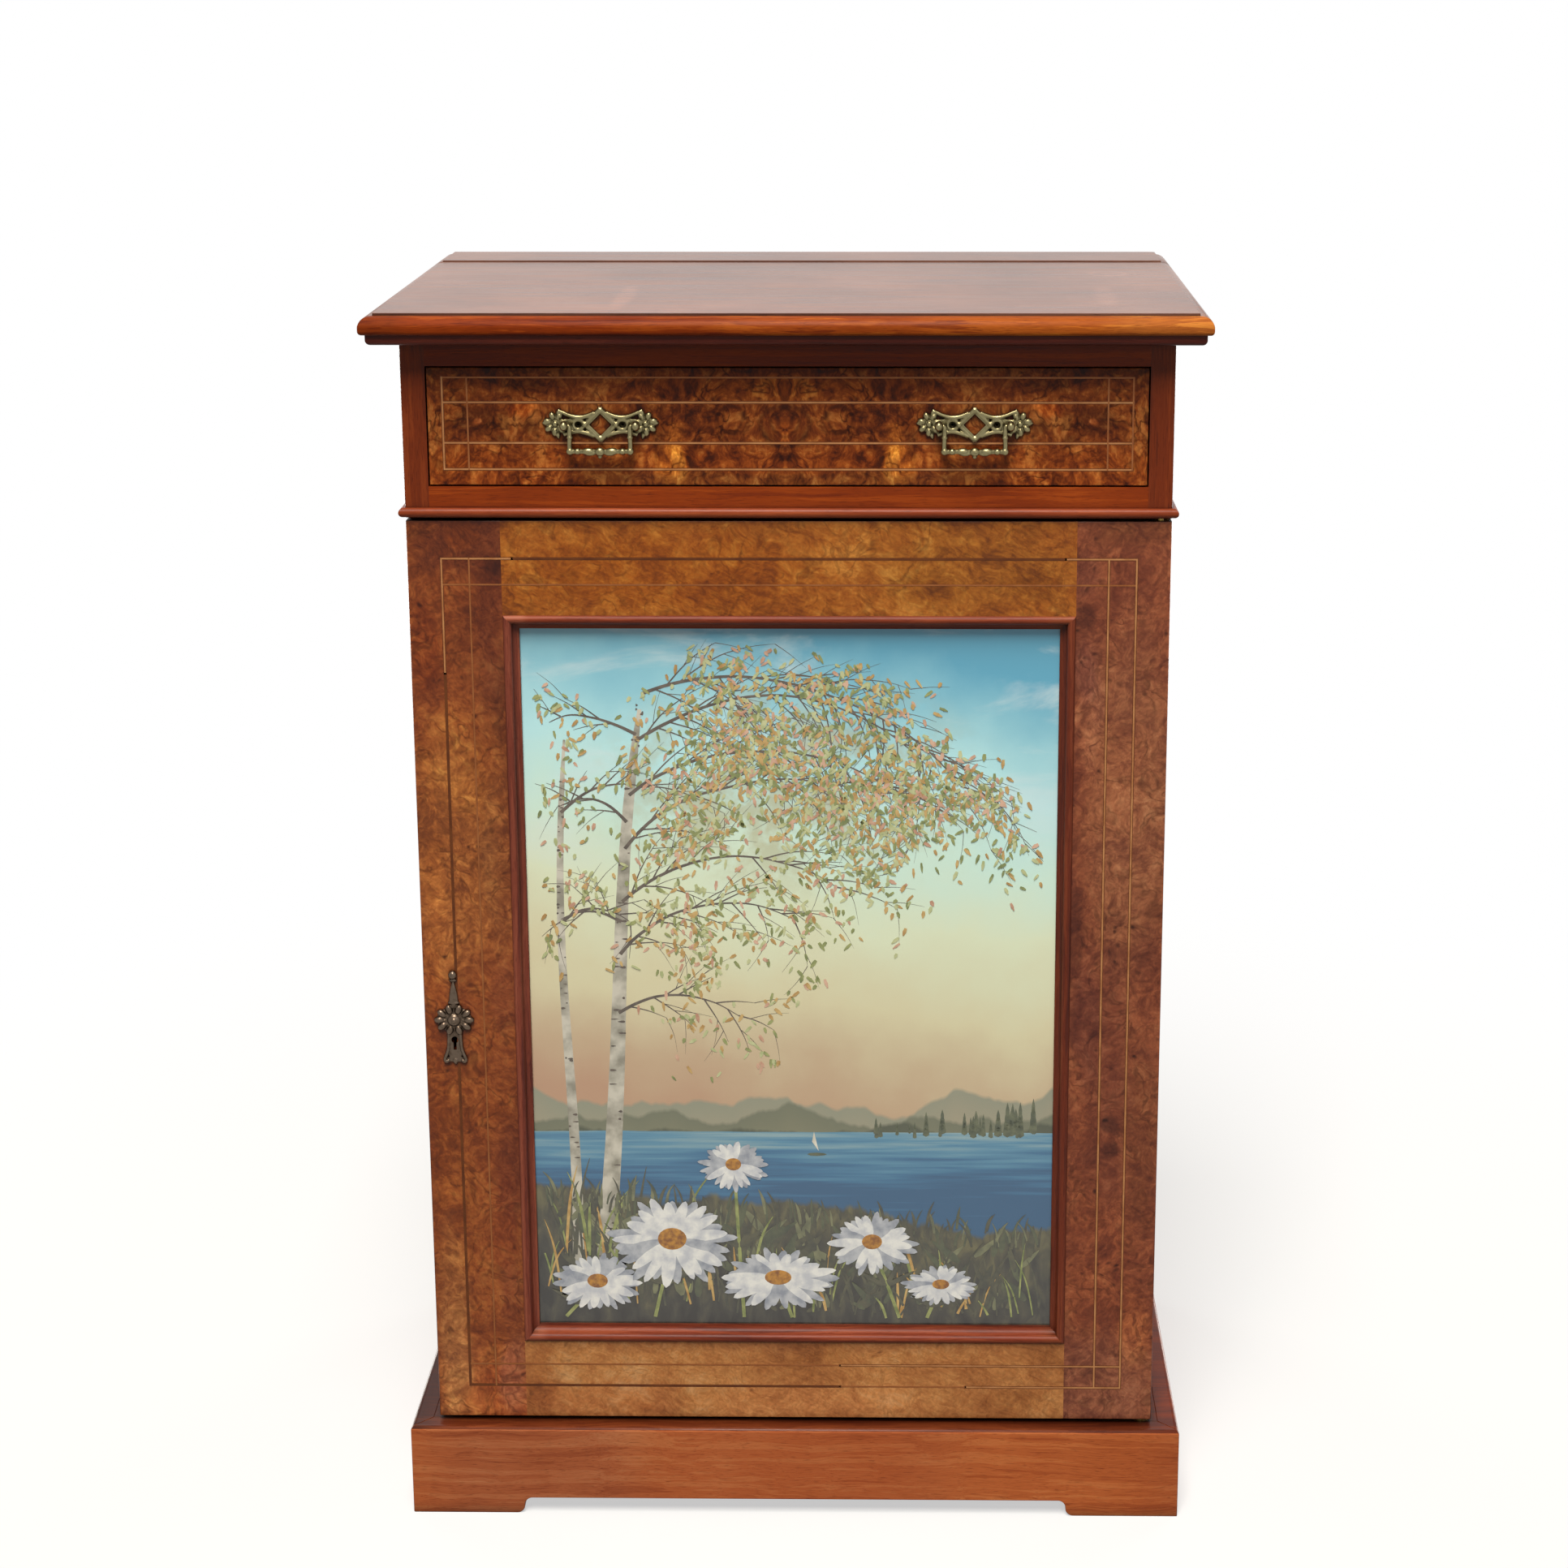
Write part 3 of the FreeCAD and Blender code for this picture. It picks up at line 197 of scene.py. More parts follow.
# Burr and curl veneer: grain that swirls round clustered eyes, with dark veins and golden patches, under the
# same polish. Soft blotches read from afar, the curls and eyes close to. A matched sheet is one leaf and its
# mirror image, joined at the seam. Sizes in mm.
def burrVeneer(name, look):
    material, add, shader = newMaterial(name)
    place = add("TexCoord")
    axes = add("SeparateXYZ", {}, {0: place.outputs["Object"]})
    fromSeam = add("Math SUBTRACT", {1: look["seam"] * mm}, {0: axes})
    folded = add("Math ABSOLUTE", {}, {0: fromSeam})
    mirrored = add("CombineXYZ", {}, {0: folded, 1: axes.outputs[1], 2: axes.outputs[2]})
    sheet = mirrored.outputs[0] if look["matched"] else place.outputs["Object"]
    leafRise = add("Math DIVIDE", {1: look["leaf"] * mm}, {0: axes.outputs[2]})
    leafStep = add("Math FLOOR", {}, {0: leafRise})
    leafShift = add("VectorMath SCALE", {0: (0.31, 0.17, 0.23)}, {"Scale": leafStep})
    moved = add("VectorMath ADD", {}, {0: sheet, 1: leafShift})
    laid = add("Mapping", {"Location": look["start"]}, {"Vector": sheet})
    turned = add("Mapping", {"Location": look["start"], "Rotation": (0.0, math.radians(look["turn"]), 0.0)},
                 {"Vector": moved})
    warp = add("TexNoise", {"Scale": 1000 / look["warpSize"], "Detail": 3.0}, {"Vector": turned})
    centred = add("VectorMath SUBTRACT", {1: (0.5, 0.5, 0.5)}, {0: warp.outputs[1]})
    bent = add("VectorMath MULTIPLY_ADD", {1: [look["warp"] * mm] * 3}, {0: centred, 2: turned})
    curlPlace = add("VectorMath MULTIPLY", {1: [1000 / size for size in look["curl"]]}, {0: bent})
    curls = add("TexNoise", {"Scale": 1.0, "Detail": 5.0, "Roughness": 0.66, "Distortion": look["distort"]},
                {"Vector": curlPlace})
    swirls = add("TexNoise", {"Scale": 1000 / look["swirl"], "Detail": 4.0, "Roughness": 0.55,
                              "Distortion": 1.6}, {"Vector": bent})
    blotch = add("TexNoise", {"Scale": 1000 / look["blotch"], "Detail": 3.0}, {"Vector": laid})
    wide = add("TexNoise", {"Scale": 1000 / look["wide"], "Detail": 1.0}, {"Vector": laid})
    shares = [(curls, look["curlShare"]), (swirls, look["swirlShare"]), (blotch, look["blotchShare"]),
              (wide, look["wideShare"])]
    level = add("Value")
    level.outputs[0].default_value = 0.5 - sum(share for figure, share in shares) / 2
    for figure, share in shares:
        level = add("Math MULTIPLY_ADD", {1: share}, {0: figure, 2: level})
    colour = add("ValToRGB", {"stops": [(0.26, look["dark"]), (0.42, look["brown"]), (0.56, look["mid"]),
                                        (0.74, look["light"])]}, {0: level})
    lastColour = colour.outputs[0]

    # veins wander through the blotches; eyes sit in clusters
    vein = add("TexNoise", {"Scale": 1000 / look["vein"], "Detail": 2.0, "Distortion": 0.9}, {"Vector": bent})
    offVein = add("Math SUBTRACT", {1: 0.5}, {0: vein})
    besideVein = add("Math ABSOLUTE", {}, {0: offVein})
    onVein = add("MapRange", {1: 0.0, 2: 0.06, 3: look["veinShare"], 4: 0.0}, {0: besideVein})
    veined = add("MapRange", {1: 0.42, 2: 0.60, 3: 0.0, 4: 1.0}, {0: blotch})
    eyes = add("TexVoronoi", {"Scale": 1000 / look["eye"]}, {"Vector": bent})
    onEye = add("MapRange", {1: 0.10, 2: 0.32, 3: look["eyeShare"], 4: 0.0}, {0: eyes})
    clustered = add("MapRange", {1: 0.54, 2: 0.64, 3: 0.0, 4: 1.0}, {0: warp})
    for mark, where in ((onVein, veined), (onEye, clustered)):
        seen = add("Math MULTIPLY", {}, {0: mark, 1: where})
        marked = add("Mix", {**tintMix, 7: linear(look["eyeColour"])}, {0: seen, 6: lastColour})
        lastColour = marked.outputs[2]

    ruffled = add("VectorMath MULTIPLY_ADD", {1: [look["ruffle"] * mm] * 3}, {0: centred, 2: sheet})
    lastColour = addPatches(add, ruffled, "xz", look["patches"], lastColour)
    fleck = add("TexNoise", {"Scale": 1000 / look["fleck"], "Detail": 2.0}, {"Vector": bent})
    flecked = add("MapRange", {1: 0.3, 2: 0.7, 3: 0.82, 4: 1.16}, {0: fleck})
    toned = add("VectorMath SCALE", {}, {0: lastColour, "Scale": flecked})
    gloss = add("MapRange", {1: 0.3, 2: 0.7, 3: look["roughness"] - 0.05, 4: look["roughness"] + 0.08},
                {0: blotch})
    bump = add("Bump", {"Strength": look["bump"], "Distance": 0.0003}, {"Height": curls})
    setPolish(add, shader, look, toned, gloss, bump)
    return material


woodBase = {"along": "x", "streak": (300, 6), "pore": (11, 0.5), "cloud": 130, "wander": 10, "lines": 46,
            "lineShare": 0.05, "cloudShare": 0.5, "poreShare": 0.5, "poreColour": "#6a4638",
            "roughness": 0.34, "bump": 0.12, "specular": 0.16, "coat": 0.06, "coatRoughness": 0.14,
            "grimeAndShadeReach": 14, "grimeAndShadeDepth": 0.85, "start": (0.0, 0.0, 0.0), "patches": []}
# the field of the top, with two pale streaks and a pale ring painted in as reflections, and greyer towards
# the wall
topPatches = [
    (-138, -110, 9, 80, (1.5, 1.6, 1.7), 0.8), (262, -100, 10, 80, (1.3, 1.4, 1.5), 0.7),
    (0, 150, 420, 150, (0.88, 0.96, 1.06), 0.9), (180, -20, 90, 26, (0.86, 0.86, 0.88), 0.8),
    (-60, -190, 260, 30, (1.12, 1.04, 0.96), 0.8), (276, 60, 16, 16, (1.4, 1.45, 1.5), 0.7, True)]
topLook = {**woodBase, "dark": "#54301f", "mid": "#744732", "light": "#8e5f49", "streak": (280, 8),
           "cloud": 120, "cloudShare": 0.45, "lines": 60, "lineShare": 0.07, "roughness": 0.30,
           "specular": 0.5, "coat": 0.0, "patches": topPatches}
# a dark wood for the risers at the joint and the quirk of the top: painted shade, with grime at the joint
shadeAndGrimeLook = {**woodBase, "dark": "#452a21", "mid": "#5a392d", "light": "#6e4a3b", "roughness": 0.55,
             "specular": 0.05, "coat": 0.0, "grimeAndShadeDepth": 0.4}
# along the moulded edge: the side ends and the left of the front are painted darker as shade; towards the
# right end it is painted lighter, with a painted highlight at the end
topEdgePatches = [
    (-337, 90, 14, 270, (0.5, 0.52, 0.6), 0.95), (337, 90, 14, 270, (0.5, 0.52, 0.6), 0.95),
    (-230, -228, 190, 40, (0.74, 0.56, 0.5), 0.95), (-330, -228, 30, 40, (0.72, 0.7, 0.8), 0.9),
    (-98, -228, 56, 40, (0.76, 0.66, 0.6), 0.9), (75, -228, 34, 40, (0.72, 0.62, 0.6), 0.8),
    (250, -228, 150, 40, (1.36, 1.7, 1.7), 0.95), (310, -228, 60, 40, (1.15, 1.45, 2.0), 0.9)]
topEdgeLook = {**woodBase, "dark": "#6c280a", "mid": "#944312", "light": "#b4601f", "streak": (120, 7),
               "start": (0.2, 0.4, 0.1), "roughness": 0.42, "specular": 0.08, "coat": 0.0,
               "patches": topEdgePatches}
postLook = {**woodBase, "along": "z", "dark": "#5a220c", "mid": "#732e11", "light": "#883d1a",
            "streak": (260, 7), "start": (0.1, 0.0, 0.7), "specular": 0.1, "coat": 0.04}
railLook = {**woodBase, "dark": "#6c2508", "mid": "#87350b", "light": "#9e4513", "streak": (280, 8),
            "start": (0.5, 0.1, 0.0), "specular": 0.1, "coat": 0.04}
# the frieze's top rail, a darker copy of the rail wood: painted shade under the overhanging top
shadedFriezeLook = {**railLook, "dark": "#5e1e08", "mid": "#792d0a", "light": "#8d3a10"}
# the cornice under the top, a darker copy of the rail wood: painted shade
shadedCorniceLook = {**railLook, "dark": "#461a10", "mid": "#5a2216", "light": "#6c2e1e", "grimeAndShadeDepth": 0.6}
beadLook = {**railLook, "dark": "#6c2a12", "mid": "#863a1c", "light": "#9a4a26"}
glazingPatches = [
    (-229, -192, 14, 60, (1.42, 2.0, 2.7), 0.95), (229, -192, 14, 60, (1.02, 1.18, 1.15), 0.95)]
glazingLook = {**woodBase, "along": "z", "dark": "#4a1a10", "mid": "#662817", "light": "#7c3822",
               "streak": (260, 5), "roughness": 0.42, "coat": 0.0, "patches": glazingPatches}
glazingLevelLook = {**glazingLook, "along": "x", "dark": "#562012", "mid": "#76311b", "light": "#8e4428"}
plinthPatches = [
    (-225, -210, 100, 60, (0.88, 0.97, 1.22), 0.8), (0, -210, 120, 60, (0.96, 0.88, 0.84), 0.7),
    (230, -210, 100, 60, (1.14, 1.14, 1.0), 0.8)]
plinthLook = {**woodBase, "dark": "#954521", "mid": "#b15d32", "light": "#c07344", "streak": (360, 9),
              "cloud": 170, "wander": 26, "lines": 60, "start": (0.3, 0.2, 0.9), "specular": 0.12,
              "coat": 0.04, "patches": plinthPatches}
plinthSideLook = {**plinthLook, "along": "y"}
# at the left end of the ledge a painted shadow, at the right end painted light
plinthLedgePatches = [
    (-335, 0, 34, 300, (0.24, 0.25, 0.34), 0.95), (335, 0, 34, 300, (1.25, 0.97, 0.7), 0.9)]
plinthLedgeLook = {**plinthLook, "dark": "#4a1e10", "mid": "#602a14", "light": "#783a1c",
                   "patches": plinthLedgePatches}
sideLook = {**woodBase, "along": "z", "dark": "#5e2c18", "mid": "#7e4124", "light": "#9a5a34",
            "streak": (520, 12), "cloud": 190, "wander": 30, "start": (0.0, 0.35, 0.2)}
pineLook = {**woodBase, "along": "z", "dark": "#8a5830", "mid": "#a8723f", "light": "#c08c58",
            "streak": (480, 11), "lines": 70, "lineShare": 0.09, "poreShare": 0.2, "roughness": 0.72,
            "coat": 0.0, "bump": 0.3, "wander": 22}
pineLevelLook = {**pineLook, "along": "x", "start": (0.4, 0.3, 0.0)}
pineDeepLook = {**pineLook, "along": "y", "start": (0.1, 0.7, 0.3)}
liningLook = {**pineLook, "along": "y", "dark": "#7c4e2c", "mid": "#9a683e", "light": "#b08354",
              "streak": (420, 8)}
liningLevelLook = {**liningLook, "along": "x"}
burrBase = {"leaf": 202.3, "turn": 32, "start": (0.0, 0.0, 0.0), "warpSize": 40, "warp": 26,
            "curl": (4.6, 4.6, 10), "distort": 0.7, "swirl": 15, "vein": 24, "blotch": 30, "wide": 130,
            "curlShare": 0.45, "swirlShare": 0.62, "blotchShare": 0.6, "wideShare": 0.45, "veinShare": 0.55,
            "eye": 9, "eyeShare": 0.8, "eyeColour": "#5c3a2c", "fleck": 2.4, "ruffle": 22, "matched": False,
            "seam": 0.0, "patches": [], "roughness": 0.33, "bump": 0.05, "specular": 0.16, "coat": 0.06,
            "coatRoughness": 0.14, "grimeAndShadeReach": 14, "grimeAndShadeDepth": 0.85}
stileLeftPatches = [
    (-264, 868, 50, 28, (0.66, 0.62, 0.78), 0.9), (-237, 853, 13, 9, (0.42, 0.38, 0.42), 0.9),
    (-300, 785, 15, 44, (0.8, 0.64, 0.62), 0.8), (-269, 785, 12, 40, (0.74, 0.70, 0.74), 0.7),
    (-267, 690, 44, 58, (1.14, 1.22, 1.1), 0.9), (-238, 720, 8, 66, (0.6, 0.55, 0.6), 0.7),
    (-292, 300, 20, 120, (1.1, 1.18, 1.08), 0.8), (-236, 300, 9, 120, (0.72, 0.66, 0.7), 0.7),
    (-294, 118, 24, 70, (1.6, 1.9, 2.0), 0.95), (-252, 108, 30, 50, (1.38, 1.3, 1.3), 0.9),
    (-298, 175, 15, 105, (1.34, 1.85, 2.2), 0.9), (-298, 250, 13, 60, (1.12, 1.1, 1.1), 0.8),
    (-246, 128, 15, 42, (0.96, 1.15, 1.95), 0.9), (-245, 208, 13, 34, (0.72, 0.66, 0.84), 0.9),
    (-250, 740, 14, 70, (0.84, 0.84, 0.92), 0.8), (-250, 260, 14, 70, (0.84, 0.72, 0.78), 0.8),
    (-302, 500, 9, 230, (1.16, 1.15, 1.06), 0.8), (-285, 598, 42, 108, (1.75, 2.4, 2.4), 0.9),
    (-244, 595, 16, 95, (1.2, 1.45, 1.6), 0.9), (-244, 800, 16, 90, (0.66, 0.6, 0.74), 0.95),
    (-268, 880, 16, 14, (1.5, 1.5, 1.05), 0.9), (-244, 315, 15, 55, (0.79, 0.75, 0.94), 0.9),
    (-244, 475, 14, 42, (0.82, 0.78, 0.95), 0.9)]
stileLeftLook = {**burrBase, "dark": "#5a2711", "brown": "#77391a", "mid": "#934e26", "light": "#ae6935",
                 "curlShare": 0.38, "blotchShare": 0.5, "patches": stileLeftPatches}
stileRightPatches = [
    (244, 812, 9, 15, (0.48, 0.44, 0.48), 0.9), (258, 748, 14, 36, (0.86, 0.82, 0.84), 0.7),
    (264, 680, 36, 56, (1.12, 1.1, 1.06), 0.9), (240, 535, 9, 40, (0.5, 0.46, 0.5), 0.8),
    (272, 548, 14, 14, (0.62, 0.56, 0.58), 0.8), (240, 468, 9, 36, (0.62, 0.54, 0.6), 0.8),
    (273, 363, 8, 11, (0.42, 0.40, 0.46), 0.9), (273, 339, 8, 9, (0.46, 0.42, 0.48), 0.9),
    (262, 230, 40, 80, (1.12, 1.08, 1.0), 0.8), (262, 108, 64, 66, (1.14, 1.38, 1.6), 0.95),
    (297, 172, 15, 46, (1.5, 1.6, 1.35), 0.9), (250, 460, 14, 70, (0.68, 0.66, 0.82), 0.8),
    (248, 740, 14, 64, (1.36, 1.6, 1.75), 0.8), (284, 650, 42, 170, (1.2, 1.52, 1.6), 0.9),
    (270, 400, 20, 135, (0.72, 0.68, 0.76), 0.95), (298, 355, 17, 95, (0.74, 0.74, 0.72), 0.95),
    (284, 882, 36, 16, (0.74, 0.74, 0.68), 0.95), (244, 848, 15, 20, (0.77, 0.77, 0.9), 0.95),
    (244, 762, 14, 30, (0.78, 0.77, 0.92), 0.95)]
stileRightLook = {**burrBase, "turn": -34, "dark": "#582718", "brown": "#733a25", "mid": "#8d4d31",
                  "light": "#a66442", "start": (0.4, 0.2, 0.7), "curlShare": 0.38, "blotchShare": 0.5,
                  "patches": stileRightPatches}
doorRailPatches = [
    (-110, 850, 140, 40, (0.9, 0.8, 0.62), 0.9), (150, 852, 90, 40, (1.0, 1.14, 1.18), 0.9),
    (200, 836, 28, 14, (0.74, 0.68, 0.6), 0.8), (-178, 838, 10, 12, (0.76, 0.7, 0.62), 0.8),
    (110, 834, 40, 15, (0.84, 0.8, 0.7), 0.7), (-40, 872, 26, 8, (0.85, 0.8, 0.7), 0.6)]
doorRailLook = {**burrBase, "leaf": 3000, "turn": 64, "dark": "#6c3510", "brown": "#8e4c18", "mid": "#a45f22",
                "light": "#bc7a34", "wide": 120, "curl": (3.6, 3.6, 20), "curlShare": 0.6, "swirl": 18,
                "swirlShare": 0.6, "distort": 0.4, "veinShare": 0.45, "eyeShare": 0.4,
                "start": (0.6, 0.1, 0.2), "patches": doorRailPatches}
# the darker band along the top of the bottom rail, under the glazing bead, is painted shade and grime
doorLowRailPatches = [
    (-222, 120, 20, 44, (0.78, 0.66, 0.6), 0.8), (20, 150, 30, 14, (0.88, 0.84, 0.76), 0.7),
    (190, 104, 40, 14, (0.86, 0.82, 0.76), 0.8), (-60, 104, 50, 12, (0.9, 0.86, 0.8), 0.7),
    (0, 162, 250, 15, (0.74, 0.69, 0.74), 0.9), (10, 100, 110, 24, (1.2, 1.18, 1.24), 0.8),
    (-165, 102, 70, 22, (0.96, 0.84, 0.82), 0.8)]
doorLowRailLook = {**doorRailLook, "dark": "#8b5228", "brown": "#a86b3a", "mid": "#bb7f48",
                   "light": "#c79460", "curlShare": 0.5, "swirlShare": 0.42, "veinShare": 0.25,
                   "start": (0.2, 0.3, 0.8), "patches": doorLowRailPatches}
# on the drawer, mirrored about the seam: the band along the top edge is painted darker as the shadow of the
# overhanging top, and the dark patches under the pulls are painted shadow with figure
drawerPatches = [
    (160, 930, 300, 26, (1.3, 1.2, 1.0), 0.9), (50, 925, 130, 8, (0.72, 0.9, 1.15), 0.9),
    (215, 944, 22, 9, (0.76, 0.74, 0.76), 0.9), (0, 1000, 72, 10, (1.28, 1.34, 1.1), 0.9),
    (0, 1014, 300, 5, (1.22, 1.25, 1.5), 0.8), (92, 939, 17, 17, (1.6, 1.9, 1.6), 1.0),
    (88, 958, 9, 16, (1.5, 1.7, 1.4), 1.0), (212, 984, 13, 6, (1.5, 1.2, 0.9), 0.9),
    (250, 973, 21, 15, (0.42, 0.38, 0.44), 0.9), (249, 972, 4, 3.6, (2.6, 2.8, 3.2), 0.9),
    (232, 958, 9, 7, (0.5, 0.45, 0.45), 0.8), (0, 970, 19, 17, (0.34, 0.3, 0.32), 0.85, True),
    (0, 973, 10, 11, (0.45, 0.42, 0.42), 0.7, True), (45, 974, 10, 11, (0.42, 0.38, 0.4), 0.75, True),
    (0, 965, 7, 12, (1.4, 1.35, 1.1), 0.9), (0, 945, 13, 5, (0.42, 0.38, 0.4), 0.8),
    (104, 956, 6, 15, (0.45, 0.4, 0.4), 0.8), (150, 928, 34, 12, (0.55, 0.5, 0.5), 0.7),
    (60, 1014, 420, 22, (0.58, 0.5, 0.48), 0.9), (210, 1002, 22, 7, (0.5, 0.46, 0.46), 0.8)]
drawerLook = {**burrBase, "leaf": 3000, "turn": 12, "matched": True, "seam": -2.0, "dark": "#361408",
              "brown": "#642c10", "mid": "#86431a", "light": "#b06c34", "swirl": 17, "swirlShare": 0.9,
              "curlShare": 0.55, "vein": 20, "veinShare": 0.85, "warpSize": 30, "warp": 20, "ruffle": 13,
              "start": (0.2, 0.5, 0.3), "specular": 0.08, "coat": 0.03, "patches": drawerPatches}

walnutTop = polishedWood("walnutTop", topLook)
walnutTopEdge = polishedWood("walnutTopEdge", topEdgeLook)
walnutShadeAndGrime = polishedWood("walnutShadeAndGrime", shadeAndGrimeLook)
mahoganyPost = polishedWood("mahoganyPost", postLook)
mahoganyRail = polishedWood("mahoganyRail", railLook)
mahoganyFriezeShaded = polishedWood("mahoganyFriezeShaded", shadedFriezeLook)
mahoganyBead = polishedWood("mahoganyBead", beadLook)
mahoganyCornice = polishedWood("mahoganyCornice", shadedCorniceLook)
mahoganyGlazing = polishedWood("mahoganyGlazing", glazingLook)
mahoganyGlazingLevel = polishedWood("mahoganyGlazingLevel", glazingLevelLook)
walnutPlinth = polishedWood("walnutPlinth", plinthLook)
walnutPlinthSide = polishedWood("walnutPlinthSide", plinthSideLook)
walnutPlinthLedge = polishedWood("walnutPlinthLedge", plinthLedgeLook)
walnutSide = polishedWood("walnutSide", sideLook)
pineUpright = polishedWood("pineUpright", pineLook)
pineLevel = polishedWood("pineLevel", pineLevelLook)
pineDeep = polishedWood("pineDeep", pineDeepLook)
liningDeep = polishedWood("liningDeep", liningLook)
liningLevel = polishedWood("liningLevel", liningLevelLook)
burrStile = {"left": burrVeneer("burrWalnutLeft", stileLeftLook),
             "right": burrVeneer("burrWalnutRight", stileRightLook)}
burrDrawer = burrVeneer("burrWalnutDrawer", drawerLook)
figuredRail = {"top": burrVeneer("figuredWalnutTop", doorRailLook),
               "bottom": burrVeneer("figuredWalnutLow", doorLowRailLook)}
print("woods made")


# Inlay woods: pale box stringing between dark lines, flush under the polish.
# A faint streak keeps each strip from looking printed; its size is in mm.
def inlayWood(name, dark, light, streakSize=14):
    material, add, shader = newMaterial(name)
    place = add("TexCoord")
    streak = add("TexNoise", {"Scale": 1000 / streakSize, "Detail": 4.0}, {"Vector": place.outputs["Object"]})
    colour = add("ValToRGB", {"stops": [(0.34, dark), (0.66, light)]}, {0: streak})
    setShader(shader, Base_Color=colour, Roughness=0.34, IOR=1.5, Specular_IOR_Level=0.16, Coat_Weight=0.06,
              Coat_Roughness=0.14)
    return material


boxwood = inlayWood("boxwood", "#a56c40", "#bc8556")
boxwoodMellow = inlayWood("boxwoodMellow", "#884e28", "#9a6036")
darkString = inlayWood("stainedHolly", "#54290f", "#683816")


# Cast brass, lacquer gone: bright on the rubbed high places, olive brown in the hollows. Sizes in mm.
def agedBrass(name, bright, dull, deep, spotSize=3.2, grainSize=0.7, hollowSize=7):
    material, add, shader = newMaterial(name)
    place = add("TexCoord")
    spots = add("TexNoise", {"Scale": 1000 / spotSize, "Detail": 4.0}, {"Vector": place.outputs["Object"]})
    hollow = add("AmbientOcclusion", {"samples": 8, "only_local": True, "Distance": hollowSize * mm})
    worn = add("Math MULTIPLY_ADD", {1: 0.5, 2: -0.25}, {0: spots})
    level = add("Math ADD", {}, {0: worn, 1: hollow.outputs["AO"]})
    colour = add("ValToRGB", {"stops": [(0.34, deep), (0.70, dull), (1.0, bright)]}, {0: level})
    rough = add("MapRange", {1: 0.3, 2: 1.0, 3: 0.62, 4: 0.30}, {0: level})
    grain = add("TexNoise", {"Scale": 1000 / grainSize, "Detail": 2.0}, {"Vector": place.outputs["Object"]})
    bump = add("Bump", {"Strength": 0.12, "Distance": 0.0002}, {"Height": grain})
    setShader(shader, Base_Color=colour, Roughness=rough, Normal=bump, Metallic=1.0)
    return material


brass = agedBrass("castBrass", "#807756", "#443c27", "#100d07")
bronze = agedBrass("darkBronze", "#625447", "#30251c", "#0c0806")
hiddenBrass = agedBrass("plainBrass", "#b09a5c", "#8c7440", "#4a3c20")
iron = agedBrass("lockIron", "#8a857c", "#5c5750", "#2c2926")

inside = {"rear_top_rail": pineLevel, "dust_board": pineLevel, "drawer_runner_left": pineDeep,
          "drawer_runner_right": pineDeep, "drawer_kickers": pineDeep, "drawer_stops": pineLevel,
          "shelf": pineLevel, "shelf_battens": pineDeep, "plinth_blocks": pineUpright,
          "door_back_panel": pineUpright, "panel_fillets": pineUpright, "drawer_side_left": liningDeep,
          "drawer_side_right": liningDeep, "drawer_back": liningLevel, "drawer_bottom": liningLevel,
          "pull_nuts": hiddenBrass, "pivot_plate_lower": hiddenBrass, "pivot_plate_upper": hiddenBrass,
          "hinge_plates": hiddenBrass, "lock_case": iron, "lock_bolt": hiddenBrass, "pivot_screws": iron,
          "door_screws": iron}
for nodeName, finish in inside.items():
    for place in nodes[nodeName].material_slots:
        place.material = finish
print("inside pieces finished")


# Smooth where neighbouring faces turn a little, sharp where they turn a lot; wide faces shade flat
def shadeByAngle(bm, limit=math.radians(32), leastTurn=0.004, flatWidth=4 * mm):
    bm.normal_update()
    for face in bm.faces:
        turns = [edge.calc_face_angle(math.pi) for edge in face.edges]
        wide = face.calc_area() * 2 > flatWidth * face.calc_perimeter()
        face.smooth = not wide and any(leastTurn < turn < limit for turn in turns)
    for edge in bm.edges:
        edge.smooth = edge.calc_face_angle(math.pi) < limit


# Makes a piece of a mesh: its shading, its materials, the body that it rides and the nodes that it stands for
def finishPiece(bm, name, body, materials, replaced=()):
    bmesh.ops.recalc_face_normals(bm, faces=bm.faces)
    shadeByAngle(bm)
    mesh = bpy.data.meshes.new(name)
    bm.to_mesh(mesh)
    bm.free()
    for material in materials:
        mesh.materials.append(material)
    piece = bpy.data.objects.new(name, mesh)
    bpy.context.scene.collection.objects.link(piece)
    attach(piece, body)
    if replaced:
        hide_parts(*replaced)
    return piece


# The matrix that makes a unit cube fill a box
def placed(low, high):
    low, high = Vector(low), Vector(high)
    return Matrix.Translation((low + high) / 2) @ Matrix.Diagonal((*(high - low), 1))


# A node's board again with its arrises eased, as a plane and years of polishing leave them;
# each easing is (size in mm, steps, which edges), and the piece is named for the node
def easedBoard(node, materials, easings=(), faceMaterial=None, settle=None):
    first, *rest = node.split("_")
    name = first + "".join(word.title() for word in rest)
    low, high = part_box(node)
    bm = bmesh.new()
    bm.from_mesh(nodes[node].data)
    bmesh.ops.remove_doubles(bm, verts=bm.verts, dist=0.005 * mm)
    bmesh.ops.dissolve_limit(bm, angle_limit=math.radians(0.4), verts=bm.verts, edges=bm.edges)
    for size, steps, pick in easings:
        bm.normal_update()
        arrises = [edge for edge in bm.edges if len(edge.link_faces) == 2 and pick(edge, low, high)]
        if arrises:
            bmesh.ops.bevel(bm, geom=arrises, offset=size * mm, offset_type="OFFSET", segments=steps,
                            profile=0.5, affect="EDGES", material=-1, clamp_overlap=False)
    bm.normal_update()
    for face in bm.faces:
        face.material_index = faceMaterial(face) if faceMaterial else 0
    if settle:
        settle(bm)
    finishPiece(bm, name, nodes[node]["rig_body"], materials, [node])


def liesOn(edge, axis, value, near=0.02 * mm):
    return all(abs(vert.co[axis] - value) < near for vert in edge.verts)


def sharpEdge(edge, low, high):
    return edge.calc_face_angle(0) > math.radians(50) and edge.is_convex


